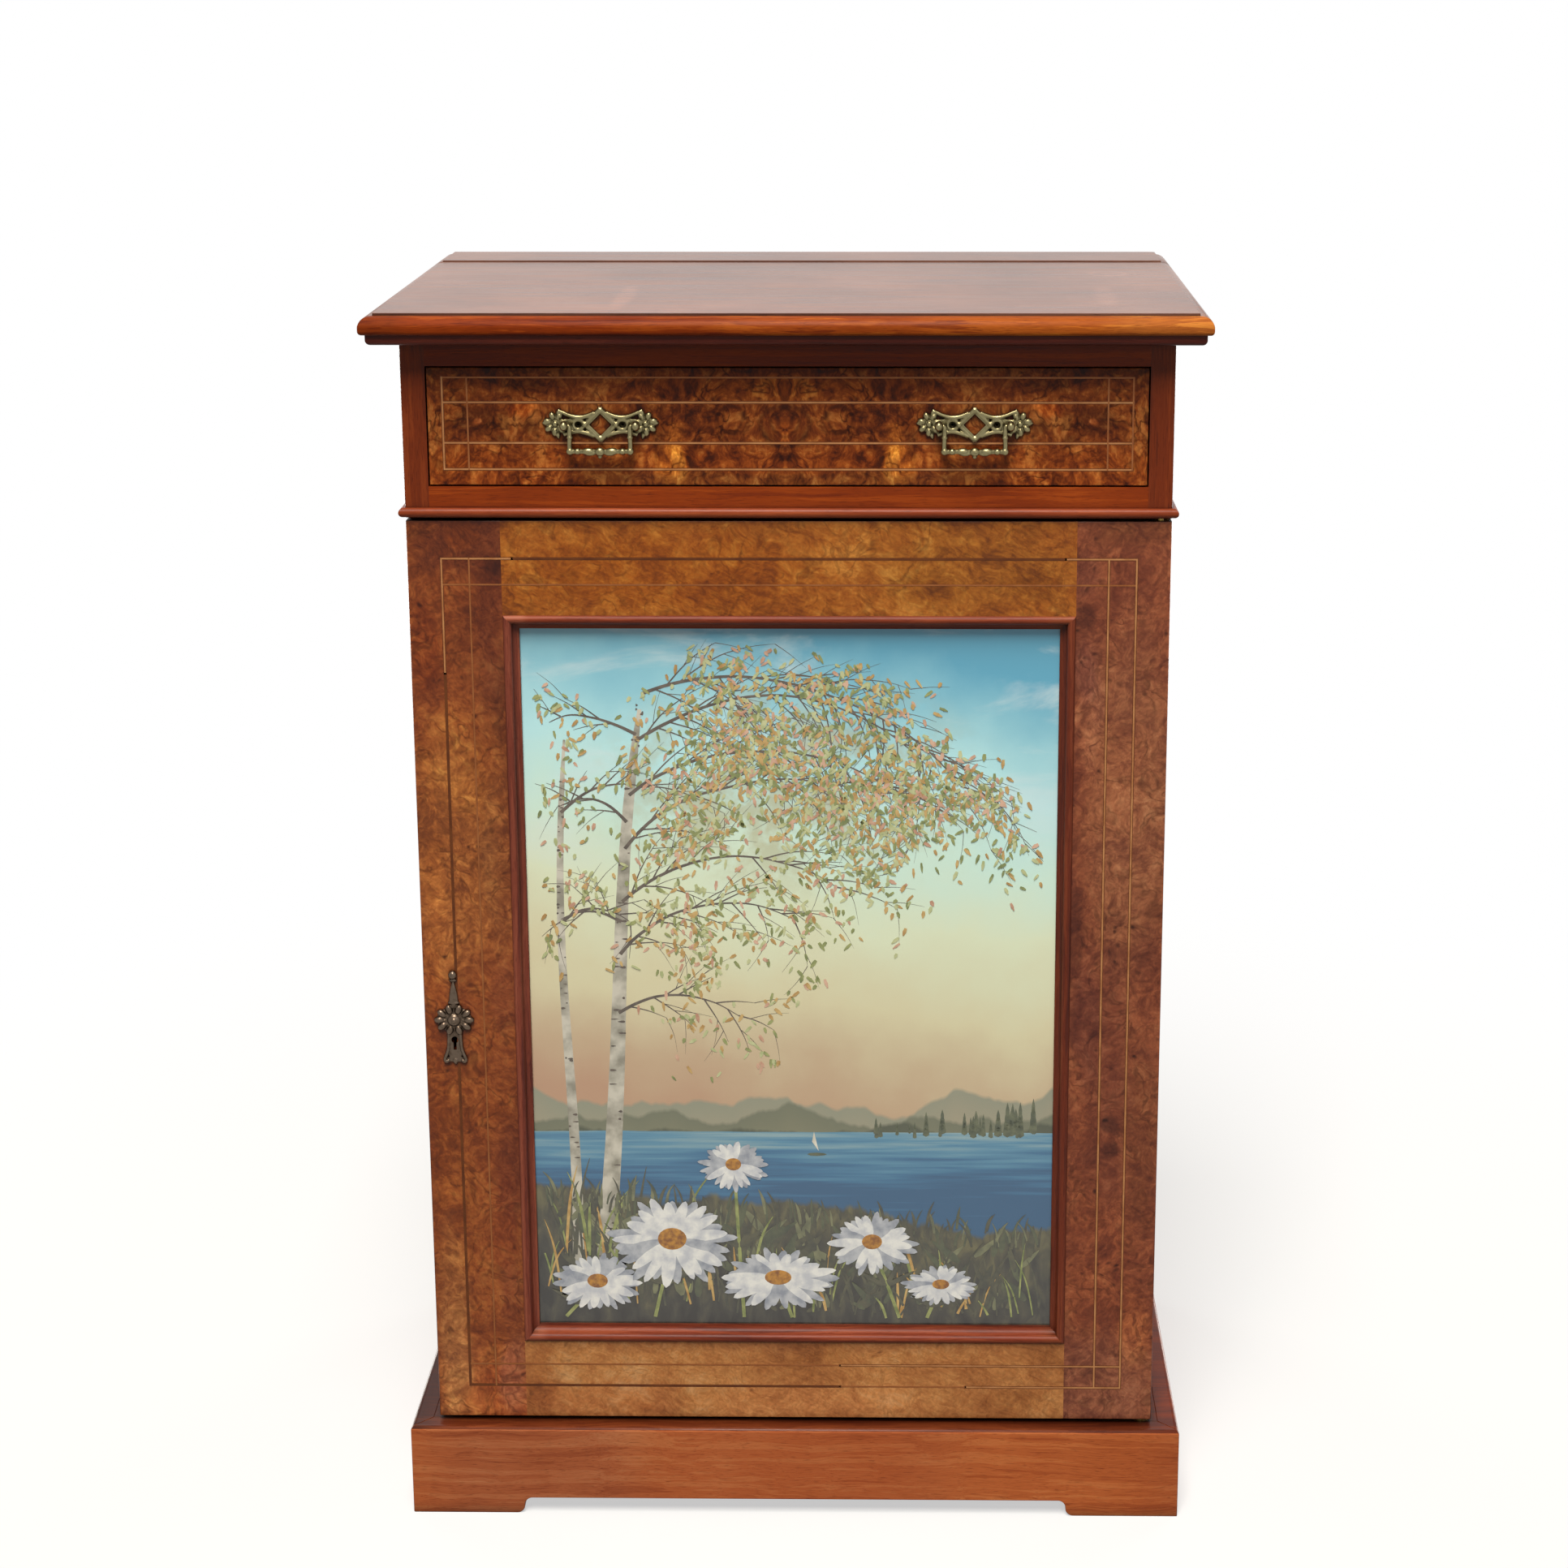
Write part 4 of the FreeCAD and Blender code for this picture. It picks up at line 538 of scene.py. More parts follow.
def boxEdge(edge, low, high):
    planes = sum(liesOn(edge, axis, side[axis]) for axis in range(3) for side in (low, high))
    return planes >= 2


# Only the arrises on the outline of the whole door
def doorEdge(edge, low, high):
    outline = ((0, doorLow.x), (0, -doorLow.x), (2, doorLow.z), (2, doorHigh.z))
    return boxEdge(edge, low, high) and any(liesOn(edge, axis, value) for axis, value in outline)


def frontEdge(edge, low, high):
    return boxEdge(edge, low, high) and liesOn(edge, 1, frontPlane)


def postEdge(edge, low, high):
    outer = low.x if low.x < 0 else high.x
    return boxEdge(edge, low, high) and liesOn(edge, 0, outer)


# The top: its foot rolled under, the old joint between its boards worn open. In mm: how far the edges of the
# joint, the foot and the arrises are eased, how far the dark reaches from the joint (painted shade and grime)
# and down the quirk (painted shade), the depth of the field, and the wide board's dip at the joint with its
# width and its deepest place
topWear = {"boardJoint": 1.0, "stripJoint": 2.0, "foot": 3.4, "arris": 0.5, "arrisAbove": 8.0,
           "jointShadeAndGrime": 2.6, "quirkShade": 2.1, "field": 0.6, "dipWidth": 1.1, "dip": 1.3, "deepest": 1.9}
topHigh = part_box("top_board")[1]
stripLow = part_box("top_rear_strip")[0]


def topFoot(edge, low, high):
    atJoint = liesOn(edge, 1, stripLow.y) or liesOn(edge, 1, topHigh.y)
    return liesOn(edge, 2, low.z) and sharpEdge(edge, low, high) and not atJoint


def topJoint(edge, low, high):
    return liesOn(edge, 2, high.z) and (liesOn(edge, 1, stripLow.y) or liesOn(edge, 1, topHigh.y))


def topArris(edge, low, high):
    above = all(vert.co.z > low.z + topWear["arrisAbove"] * mm for vert in edge.verts)
    return above and sharpEdge(edge, low, high) and not topJoint(edge, low, high)


# the field and its side edges take the top's colour and the moulded front is redder; the risers at the quirk
# are painted dark as shade, those at the joint as shade and grime
def topFinish(face):
    middle = face.calc_center_median()
    depth = (topHigh.z - middle.z) / mm
    fromJoint = min(abs(middle.y - stripLow.y), abs(middle.y - topHigh.y)) / mm
    if fromJoint < topWear["jointShadeAndGrime"] and face.normal.z < 0.95:
        return 2
    if depth < topWear["quirkShade"] and abs(face.normal.z) < 0.5:
        return 2
    if abs(face.normal.x) > abs(face.normal.y) and face.normal.z > 0.3:
        return 0
    return 0 if depth < topWear["field"] and face.normal.z > 0.7 else 1


# the wide board has cupped a little and dips at the joint, where the strip behind stands proud of it
def cupBoard(bm):
    reach = topWear["dipWidth"] * mm
    for vert in bm.verts:
        if vert.co.y > topHigh.y - reach and vert.co.z > topHigh.z - reach:
            vert.co.z = max(vert.co.z - topWear["dip"] * mm, topHigh.z - topWear["deepest"] * mm)


for node, joint, settle in (("top_board", "boardJoint", cupBoard), ("top_rear_strip", "stripJoint", None)):
    easings = [(topWear[joint], 2, topJoint), (topWear["foot"], 4, topFoot), (topWear["arris"], 2, topArris)]
    easedBoard(node, [walnutTop, walnutTopEdge, walnutShadeAndGrime], easings, topFinish, settle)

# How far the arrises of the other boards are eased, in mm
arrisWear = {"plinth": 0.7, "side": 0.6, "post": 0.8, "door": 0.7, "back": 0.6, "drawer": 0.8}
# veneer covers the show faces; the backs and edges are plain wood
plainBehind = lambda face: 0 if face.normal.y < -0.4 else 1
# the plinth's upward faces, its ledge and the top of its rounded arris, are darker than its front and sides
plinthLedgeFace = lambda face: 1 if face.normal.z > 0.4 else 0
for side in ("front", "left", "right"):
    easedBoard("cornice_" + side, [mahoganyCornice])
    easedBoard("waist_bead_" + side, [mahoganyBead])
    easedBoard("plinth_" + side, [walnutPlinth if side == "front" else walnutPlinthSide, walnutPlinthLedge],
               [(arrisWear["plinth"], 2, sharpEdge)], plinthLedgeFace)
for side in ("left", "right"):
    easedBoard("side_" + side, [walnutSide], [(arrisWear["side"], 2, postEdge)])
    easedBoard("frieze_post_" + side, [mahoganyPost], [(arrisWear["post"], 2, postEdge)])
    easedBoard("door_stile_" + side, [burrStile[side], mahoganyPost], [(arrisWear["door"], 2, doorEdge)],
               plainBehind)
    easedBoard("glazing_bead_" + side, [mahoganyGlazing])
    easedBoard("back_board_" + side, [pineUpright], [(arrisWear["back"], 2, boxEdge)])
for side in ("top", "bottom"):
    easedBoard("door_" + side + "_rail", [figuredRail[side], mahoganyRail],
               [(arrisWear["door"], 2, doorEdge)], plainBehind)
    easedBoard("glazing_bead_" + side, [mahoganyGlazingLevel])
# the base board shows as a narrow step round the case; the ends of the plinth's back are stained to match,
# and share the ledge's painted shadow and light
easedBoard("bottom_board", [pineLevel, walnutPlinthLedge], [], plinthLedgeFace)
easedBoard("plinth_back", [pineLevel, walnutPlinthLedge], [], plinthLedgeFace)
easedBoard("frieze_top_rail", [mahoganyFriezeShaded])
easedBoard("drawer_rail", [mahoganyRail])
easedBoard("drawer_front", [burrDrawer, mahoganyRail], [(arrisWear["drawer"], 2, frontEdge)], plainBehind)
print("boards and mouldings made")

# Stringing: pale lines between dark ones, laid round the door and the drawer. Polish has darkened some runs
# of it, so each run is (tone, x, z, x, z) in mm, tone 0 pale, 1 mellow with no dark edges left, 2 dark.
stringing = {"width": 1.3, "darkWidth": 2.3, "rise": 0.16, "crossing": 0.02, "sunk": 0.2,
             "door": [(0, -285, 859.3, -227, 859.3), (2, -227, 859.3, 227, 859.3),
                      (0, 227, 859.3, 285, 859.3), (0, -285, 762, -285, 859.3), (2, -285, 116.7, -285, 762),
                      (2, -285, 116.7, 40, 116.7), (1, 40, 116.7, 150, 116.7), (0, 150, 116.7, 285, 116.7),
                      (0, 285, 116.7, 285, 859.3), (1, -285, 837.5, 285, 837.5),
                      (1, -262.3, 116.7, -262.3, 859.3), (0, 262.3, 116.7, 262.3, 859.3),
                      (1, -285, 137, 40, 137), (0, 40, 137, 285, 137)],
             "drawer": [(1, -279.5, 1008.9, 279.5, 1008.9), (0, -279.5, 933.7, 279.5, 933.7),
                        (0, -279.5, 933.7, -279.5, 1008.9), (1, 279.5, 933.7, 279.5, 1008.9),
                        (0, -279.5, 988.6, 279.5, 988.6), (0, -279.5, 955.4, 279.5, 955.4),
                        (1, -259.4, 933.7, -259.4, 1008.9), (1, 259.4, 933.7, 259.4, 1008.9)]}


def makeStringing(name, body, runs):
    layers = (("Dark", stringing["darkWidth"], stringing["rise"] / 2),
              ("Pale", stringing["width"], stringing["rise"]))
    for suffix, width, rise in layers:
        bm = bmesh.new()
        for tone, x0, z0, x1, z1 in runs:
            if suffix == "Dark" and tone == 1:
                continue
            lift = rise + (stringing["crossing"] if x0 == x1 else 0.0)
            half = width / 2
            low = ((x0 - half) * mm, frontPlane - lift * mm, (z0 - half) * mm)
            high = ((x1 + half) * mm, frontPlane + stringing["sunk"] * mm, (z1 + half) * mm)
            made = bmesh.ops.create_cube(bm, size=1, matrix=placed(low, high))["verts"]
            for face in {face for vert in made for face in vert.link_faces}:
                face.material_index = tone if suffix == "Pale" else 2
        finishPiece(bm, name + suffix, body, [boxwood, boxwoodMellow, darkString])


makeStringing("doorStringing", "door", stringing["door"])
makeStringing("drawerStringing", "drawer", stringing["drawer"])
print("stringing laid")


# Tubes along smooth lines; each point is (x, y, z, share of the radius)
def addTubes(bm, lines, radius, closed=False, sides=2):
    curve = bpy.data.curves.new("lines", "CURVE")
    curve.dimensions = "3D"
    curve.bevel_depth = radius
    curve.bevel_resolution = sides
    curve.resolution_u = 5
    curve.use_fill_caps = True
    for line in lines:
        spline = curve.splines.new("NURBS")
        spline.points.add(len(line) - 1)
        for point, (x, y, z, share) in zip(spline.points, line):
            point.co = (x, y, z, 1)
            point.radius = share
        spline.use_cyclic_u = closed
        spline.order_u = 3
        spline.use_endpoint_u = not closed
    holder = bpy.data.objects.new("lines", curve)
    mesh = bpy.data.meshes.new_from_object(holder)
    bm.from_mesh(mesh)
    bpy.data.objects.remove(holder)
    bpy.data.curves.remove(curve)
    bpy.data.meshes.remove(mesh)


# At a place, turned in the front plane
def turnedAt(x, y, z, turn):
    return Matrix.Translation((x, y, z)) @ Matrix.Rotation(-turn, 4, "Y")


# A flat leaf or petal in the front plane, blunt at its foot and drawn out to a tip
def addLeaf(bm, x, z, length, width, turn, y, material=0, point=0.55, sides=10, thick=0.1):
    made = bmesh.ops.create_circle(bm, cap_ends=True, radius=0.5, segments=sides)["verts"]
    for vert in made:
        vert.co.y *= 1 - point * (vert.co.x + 0.5)
    bmesh.ops.translate(bm, verts=made, vec=(0.5, 0, 0))
    upright = turnedAt(x, y, z, turn) @ Matrix.Rotation(math.pi / 2, 4, "X")
    bmesh.ops.transform(bm, verts=made, matrix=upright @ Matrix.Diagonal((length, width, 1, 1)))
    face = made[0].link_faces[0]
    face.normal_update()
    if face.normal.y > 0:
        face.normal_flip()
    face.material_index = material
    rim = bmesh.ops.extrude_face_region(bm, geom=[face])["geom"]
    front = [v for v in rim if isinstance(v, bmesh.types.BMVert)]
    bmesh.ops.translate(bm, verts=front, vec=(0, -thick, 0))
    for found in {f for v in front for f in v.link_faces}:
        found.material_index = material


# Flattens tubes into ribbons on the front plane
def addRibbons(bm, lines, width, y, material=0, thick=0.12):
    before = set(bm.verts)
    addTubes(bm, [[(px, 0, pz, share) for px, pz, share in line] for line in lines], width / 2, False, 1)
    made = [vert for vert in bm.verts if vert not in before]
    flat = Matrix.Translation((0, y, 0)) @ Matrix.Diagonal((1, thick * 2 / width, 1, 1))
    bmesh.ops.transform(bm, verts=made, matrix=flat)
    for face in {f for v in made for f in v.link_faces}:
        face.material_index = material


# Empties a small working mesh into the large one; the mesh tools slow down as a mesh grows
def pour(chunk, bm):
    mesh = bpy.data.meshes.new("chunk")
    chunk.to_mesh(mesh)
    chunk.free()
    bm.from_mesh(mesh)
    bpy.data.meshes.remove(mesh)
    return bmesh.new()


def intoMetres(bm):
    bmesh.ops.scale(bm, verts=bm.verts, vec=(mm, mm, mm))


# Cuts off what lies behind the face that a casting is pinned to, and closes it
def cutBack(bm):
    geometry = bm.verts[:] + bm.edges[:] + bm.faces[:]
    bmesh.ops.bisect_plane(bm, geom=geometry, plane_co=(0, 0, 0), plane_no=(0, 1, 0), clear_outer=True)
    bmesh.ops.holes_fill(bm, edges=[edge for edge in bm.edges if edge.is_boundary])


# Fuses shapes into one skin, as a casting has, softens it and brings it to its place; all in mm until then
def cast(bm, voxel, passes, place=(0, 0, 0)):
    mesh = bpy.data.meshes.new("pattern")
    bm.to_mesh(mesh)
    bm.free()
    holder = bpy.data.objects.new("pattern", mesh)
    bpy.context.scene.collection.objects.link(holder)
    skin = holder.modifiers.new("skin", "REMESH")
    skin.mode = "VOXEL"
    skin.voxel_size = voxel
    bpy.context.view_layer.update()
    fused = bpy.data.meshes.new_from_object(holder.evaluated_get(bpy.context.evaluated_depsgraph_get()))
    bpy.data.objects.remove(holder)
    made = bmesh.new()
    made.from_mesh(fused)
    bpy.data.meshes.remove(fused)
    bpy.data.meshes.remove(mesh)
    for number in range(passes):
        bmesh.ops.smooth_vert(made, verts=made.verts, factor=0.5, use_axis_x=True, use_axis_y=True,
                              use_axis_z=True)
    bmesh.ops.translate(made, verts=made.verts, vec=place)
    intoMetres(made)
    return made


def addBall(bm, x, y, z, rx, ry, rz, turn=0.0, around=20, rings=12):
    lie = turnedAt(x, y, z, turn) @ Matrix.Diagonal((rx, ry, rz, 1))
    return bmesh.ops.create_uvsphere(bm, u_segments=around, v_segments=rings, radius=1, matrix=lie)["verts"]


# A cast leaf: a domed teardrop with its foot at a point
def addCastLeaf(bm, x, y, z, length, width, height, turn):
    made = bmesh.ops.create_uvsphere(bm, u_segments=20, v_segments=12, radius=0.5)["verts"]
    for vert in made:
        vert.co.z *= 1 - 0.6 * (vert.co.x + 0.5)
    bmesh.ops.translate(bm, verts=made, vec=(0.5, 0, 0))
    lie = turnedAt(x, y, z, turn) @ Matrix.Diagonal((length, height * 2, width, 1))
    bmesh.ops.transform(bm, verts=made, matrix=lie)


def addBar(bm, start, end, wide, thick):
    start, end = Vector(start), Vector(end)
    run = end - start
    lie = Matrix.Translation((start + end) / 2) @ Matrix.Rotation(-math.atan2(run.z, run.x), 4, "Y")
    bmesh.ops.create_cube(bm, size=1, matrix=lie @ Matrix.Diagonal((run.length, thick, wide, 1)))


# Swing-bail pulls, in mm from the middle of each: a pierced plate of scrolls and leaves, posts, a beaded bail
pull = {"spacing": 303.0, "height": 970.75, "eye": 9.0, "postSpread": 29.0, "armSpread": 24.4, "drop": 20.7,
        "voxel": 0.42, "postVoxel": 0.5, "shank": 2.4, "shankLength": 36.0, "shankBehind": 9.0, "collar": 3.2}


def makePullPlate(side, centre):
    bm = bmesh.new()
    for sx in (-1, 1):
        for sz in (-1, 1):
            addBar(bm, (sx * -0.8, -1.2, sz * 13.0), (sx * 13.2, -1.2, sz * -0.8), 4.6, 2.4)
            addBar(bm, (sx * 0.2, -2.3, sz * 12.4), (sx * 12.6, -2.3, sz * 0.2), 2.3, 1.7)
        addBall(bm, sx * 12.6, -2.0, 0, 2.5, 2.2, 2.8)
        circle = [(math.cos(a * math.pi / 4), math.sin(a * math.pi / 4)) for a in range(8)]
        addTubes(bm, [[(sx * (18.0 + 4.6 * c), -1.3, 4.4 * s, 1) for c, s in circle]], 2.1, True)
        addBar(bm, (sx * 21.5, -1.2, 0), (sx * 34, -1.2, 0), 9.0, 2.4)
        addTubes(bm, [[(sx * 5, -1.5, 9.5, 1.0), (sx * 11, -1.6, 6.6, 1.1), (sx * 18, -1.6, 5.6, 1.1),
                       (sx * 25, -1.7, 7.2, 1.1), (sx * 29.5, -1.8, 9.6, 0.9), (sx * 33, -1.8, 11.0, 0.7)],
                      [(sx * 5, -1.5, -9.5, 1.0), (sx * 11, -1.6, -6.8, 1.1), (sx * 18, -1.6, -5.4, 1.0),
                       (sx * 25, -1.6, -6.4, 1.0), (sx * 30, -1.6, -8.4, 0.9)]], 1.9)
        # a flower at the end: lobes round a boss, with a leaf outwards and one above
        for number in range(7):
            angle = number * 2 * math.pi / 7 + 0.3
            addBall(bm, sx * (36.6 + 6.2 * math.cos(angle)), -1.0, 0.6 + 6.6 * math.sin(angle), 3.9, 2.7, 2.7,
                    angle if sx > 0 else math.pi - angle)
        addBall(bm, sx * 36.6, -1.4, 0.6, 2.9, 2.6, 2.9)
        addCastLeaf(bm, sx * 41, -0.8, 0.8, 6.6, 6.0, 2.2, 0.1 if sx > 0 else math.pi - 0.1)
        addCastLeaf(bm, sx * 34.5, -0.8, 6.5, 7.0, 5.2, 2.2, math.radians(100 if sx > 0 else 80))
        addCastLeaf(bm, sx * 35.0, -0.8, -6.0, 6.0, 5.0, 2.0, math.radians(-100 if sx > 0 else -80))
    addCastLeaf(bm, 0, -1.2, 9, 5.2, 6.0, 2.2, math.pi / 2)
    addCastLeaf(bm, 0, -1.2, -9, 4.6, 6.2, 2.2, -math.pi / 2)
    addBall(bm, 0, -1.6, -12.0, 2.4, 2.0, 2.0)
    cutBack(bm)
    bm = cast(bm, pull["voxel"], 2, (centre, frontPlane / mm, pull["height"]))
    finishPiece(bm, "pullPlate" + side, "drawer", [brass], ["pull_plate_" + side.lower()])


def makePullPosts():
    bm = bmesh.new()
    front = frontPlane / mm
    for centre in (-pull["spacing"] / 2, pull["spacing"] / 2):
        for side in (-1, 1):
            x = centre + side * pull["postSpread"]
            lie = Matrix.Translation((x, front + pull["shankBehind"],
                                      pull["height"])) @ Matrix.Rotation(math.pi / 2, 4, "X")
            bmesh.ops.create_cone(bm, cap_ends=True, segments=24, radius1=pull["shank"],
                                  radius2=pull["shank"], depth=pull["shankLength"], matrix=lie)
            addBall(bm, x, front - pull["eye"], pull["height"], 3.7, 4.4, 4.2)
            addBall(bm, x, front - pull["collar"], pull["height"], 3.6, 1.6, 3.6)
    bm = cast(bm, pull["postVoxel"], 1)
    finishPiece(bm, "pullPosts", "drawer", [brass], ["pull_posts"])


def makeBail(end, centre):
    bm = bmesh.new()
    drop = -pull["drop"]
    arm = pull["armSpread"]
    for side in (-1, 1):
        addTubes(bm, [[(side * 31.0, 0, 0, 0.7), (side * 27, 0, 0, 0.75), (side * (arm + 0.2), 0, 0.3, 0.9),
                       (side * arm, 0, -3, 1), (side * arm, 0, -9, 1), (side * (arm + 0.3), 0, -15, 1),
                       (side * (arm + 0.2), 0, drop + 0.3, 1), (side * (arm - 3), 0, drop, 1)]], 2.0)
        addBall(bm, side * arm, 0, -9.4, 2.7, 2.5, 1.8)
        addBall(bm, side * arm, 0, drop, 3.2, 2.8, 3.2)
        for x, wide, high in ((9.6, 5.6, 3.0), (18.2, 3.2, 2.7)):
            addBall(bm, side * x, -0.4, drop, wide, 2.8, high)
        addCastLeaf(bm, side * 3, -0.6, drop - 0.6, 9, 5.4, 2.0, math.radians(-14 if side > 0 else 194))
    addBar(bm, (-arm, 0, drop), (arm, 0, drop), 3.4, 3.4)
    addBall(bm, 0, -0.8, drop - 0.2, 4.2, 3.0, 3.6)
    addBall(bm, 0, -0.4, drop - 4.2, 1.9, 1.7, 1.8)
    bm = cast(bm, pull["voxel"], 2, (centre, frontPlane / mm - pull["eye"], pull["height"]))
    node = "bail_" + end.lower()
    finishPiece(bm, "bail" + end, node, [brass], [node])


for side, centre in (("Left", -pull["spacing"] / 2), ("Right", pull["spacing"] / 2)):
    makePullPlate(side, centre)
    makeBail(side, centre)
makePullPosts()
print("drawer pulls cast")

# Escutcheon, in mm from the keyhole: finial, stem, an oval rosette round a boss, and a skirt with a foot
escutcheon = {"x": -287.7, "z": 440.0, "hole": 3.0, "slot": (2.6, 9.0), "cutDepth": 15, "voxel": 0.42}


def makeEscutcheon():
    bm = bmesh.new()
    addBall(bm, 0, -1.6, 58.6, 3.8, 3.4, 3.8)
    addBall(bm, 0, -1.0, 53.6, 3.4, 1.8, 1.4)
    addCastLeaf(bm, 0, -0.6, 27, 26, 10.5, 2.6, math.pi / 2)
    addBall(bm, 0, -1.0, 33.5, 5.2, 2.2, 1.8)
    addBall(bm, 0, -1.4, 18, 6.0, 3.6, 5.6)
    addBall(bm, 0, -3.6, 18, 2.6, 2.4, 2.6)
    addBar(bm, (0, -0.8, 26), (0, -0.8, -18), 10.4, 1.6)
    addBall(bm, 0, -0.2, 18, 15.4, 2.4, 11.8)
    for number in range(10):
        angle = number * math.pi / 5
        addBall(bm, 12.6 * math.cos(angle), -1.4, 18 + 9.6 * math.sin(angle), 4.6, 2.8, 3.0, angle)
        addCastLeaf(bm, 5.4 * math.cos(angle), -1.2, 18 + 4.6 * math.sin(angle), 5.2, 2.6, 1.8, angle)
    for side in (-1, 1):
        addTubes(bm, [[(side * 5.0, -1.2, 8, 0.9), (side * 5.2, -1.5, 0, 1), (side * 5.6, -1.5, -8, 1),
                       (side * 7.6, -1.5, -14, 1.1), (side * 9.4, -1.5, -18.0, 1.1),
                       (side * 7.6, -1.6, -20.6, 1), (side * 5.4, -1.6, -18.4, 0.8)]], 1.4)
    addBar(bm, (-8.0, -0.8, -18), (8.0, -0.8, -18), 3.8, 1.6)
    addCastLeaf(bm, 0, -0.6, -16, 6.6, 7, 2.0, -math.pi / 2)
    cutBack(bm)
    x, y, z = escutcheon["x"], frontPlane / mm, escutcheon["z"]
    bm = cast(bm, escutcheon["voxel"], 2, (x, y, z))
    plate = finishPiece(bm, "escutcheonPlate", "door", [bronze], ["escutcheon"])
    # the keyhole is a round hole and a slot below it, cut one after the other
    reach = escutcheon["cutDepth"]
    hole, slot = bmesh.new(), bmesh.new()
    lie = Matrix.Translation((x, y, z)) @ Matrix.Rotation(math.pi / 2, 4, "X")
    bmesh.ops.create_cone(hole, cap_ends=True, segments=32, radius1=escutcheon["hole"],
                          radius2=escutcheon["hole"], depth=2 * reach, matrix=lie)
    width, length = escutcheon["slot"]
    low, high = (x - width / 2, y - reach, z - length), (x + width / 2, y + reach, z)
    bmesh.ops.create_cube(slot, size=1, matrix=placed(low, high))
    for tool in (hole, slot):
        intoMetres(tool)
        mesh = bpy.data.meshes.new("cutter")
        tool.to_mesh(mesh)
        tool.free()
        holder = bpy.data.objects.new("cutter", mesh)
        bpy.context.scene.collection.objects.link(holder)
        cut = plate.modifiers.new("keyhole", "BOOLEAN")
        cut.object = holder
        cut.operation = "DIFFERENCE"
        cut.solver = "EXACT"
        bpy.context.view_layer.update()
        opened = bpy.data.meshes.new_from_object(plate.evaluated_get(bpy.context.evaluated_depsgraph_get()))
        plate.modifiers.remove(cut)
        bpy.data.objects.remove(holder)
        plate.data = opened


makeEscutcheon()
print("escutcheon cast")

# Painted glass, in mm: a lake under a wide sky with far hills, glossy and even, as oil colour behind glass is
panel = {"skyTop": 799.0, "shore": 352.0, "bank": 282.0, "arris": 0.4, "brush": 90, "cloud": (150, 52),
         "crown": (0, 660), "crownSize": (190, 115), "haze": 34, "ripple": (120, 5), "grass": (12, 26),
         "bankRoll": 130, "ridges": [(384.0, 62.0, 190.0, 3.1, "#8d8f7a", "#a0977e"),
                                     (364.0, 36.0, 120.0, 7.7, "#6a6d58", "#7e7c62"),
                                     (353.0, 16.0, 70.0, 12.3, "#464a38", "#5a5c46")]}
oilFinish = {"Roughness": 0.5, "IOR": 1.5, "Coat_Weight": 0.7, "Coat_Roughness": 0.03}


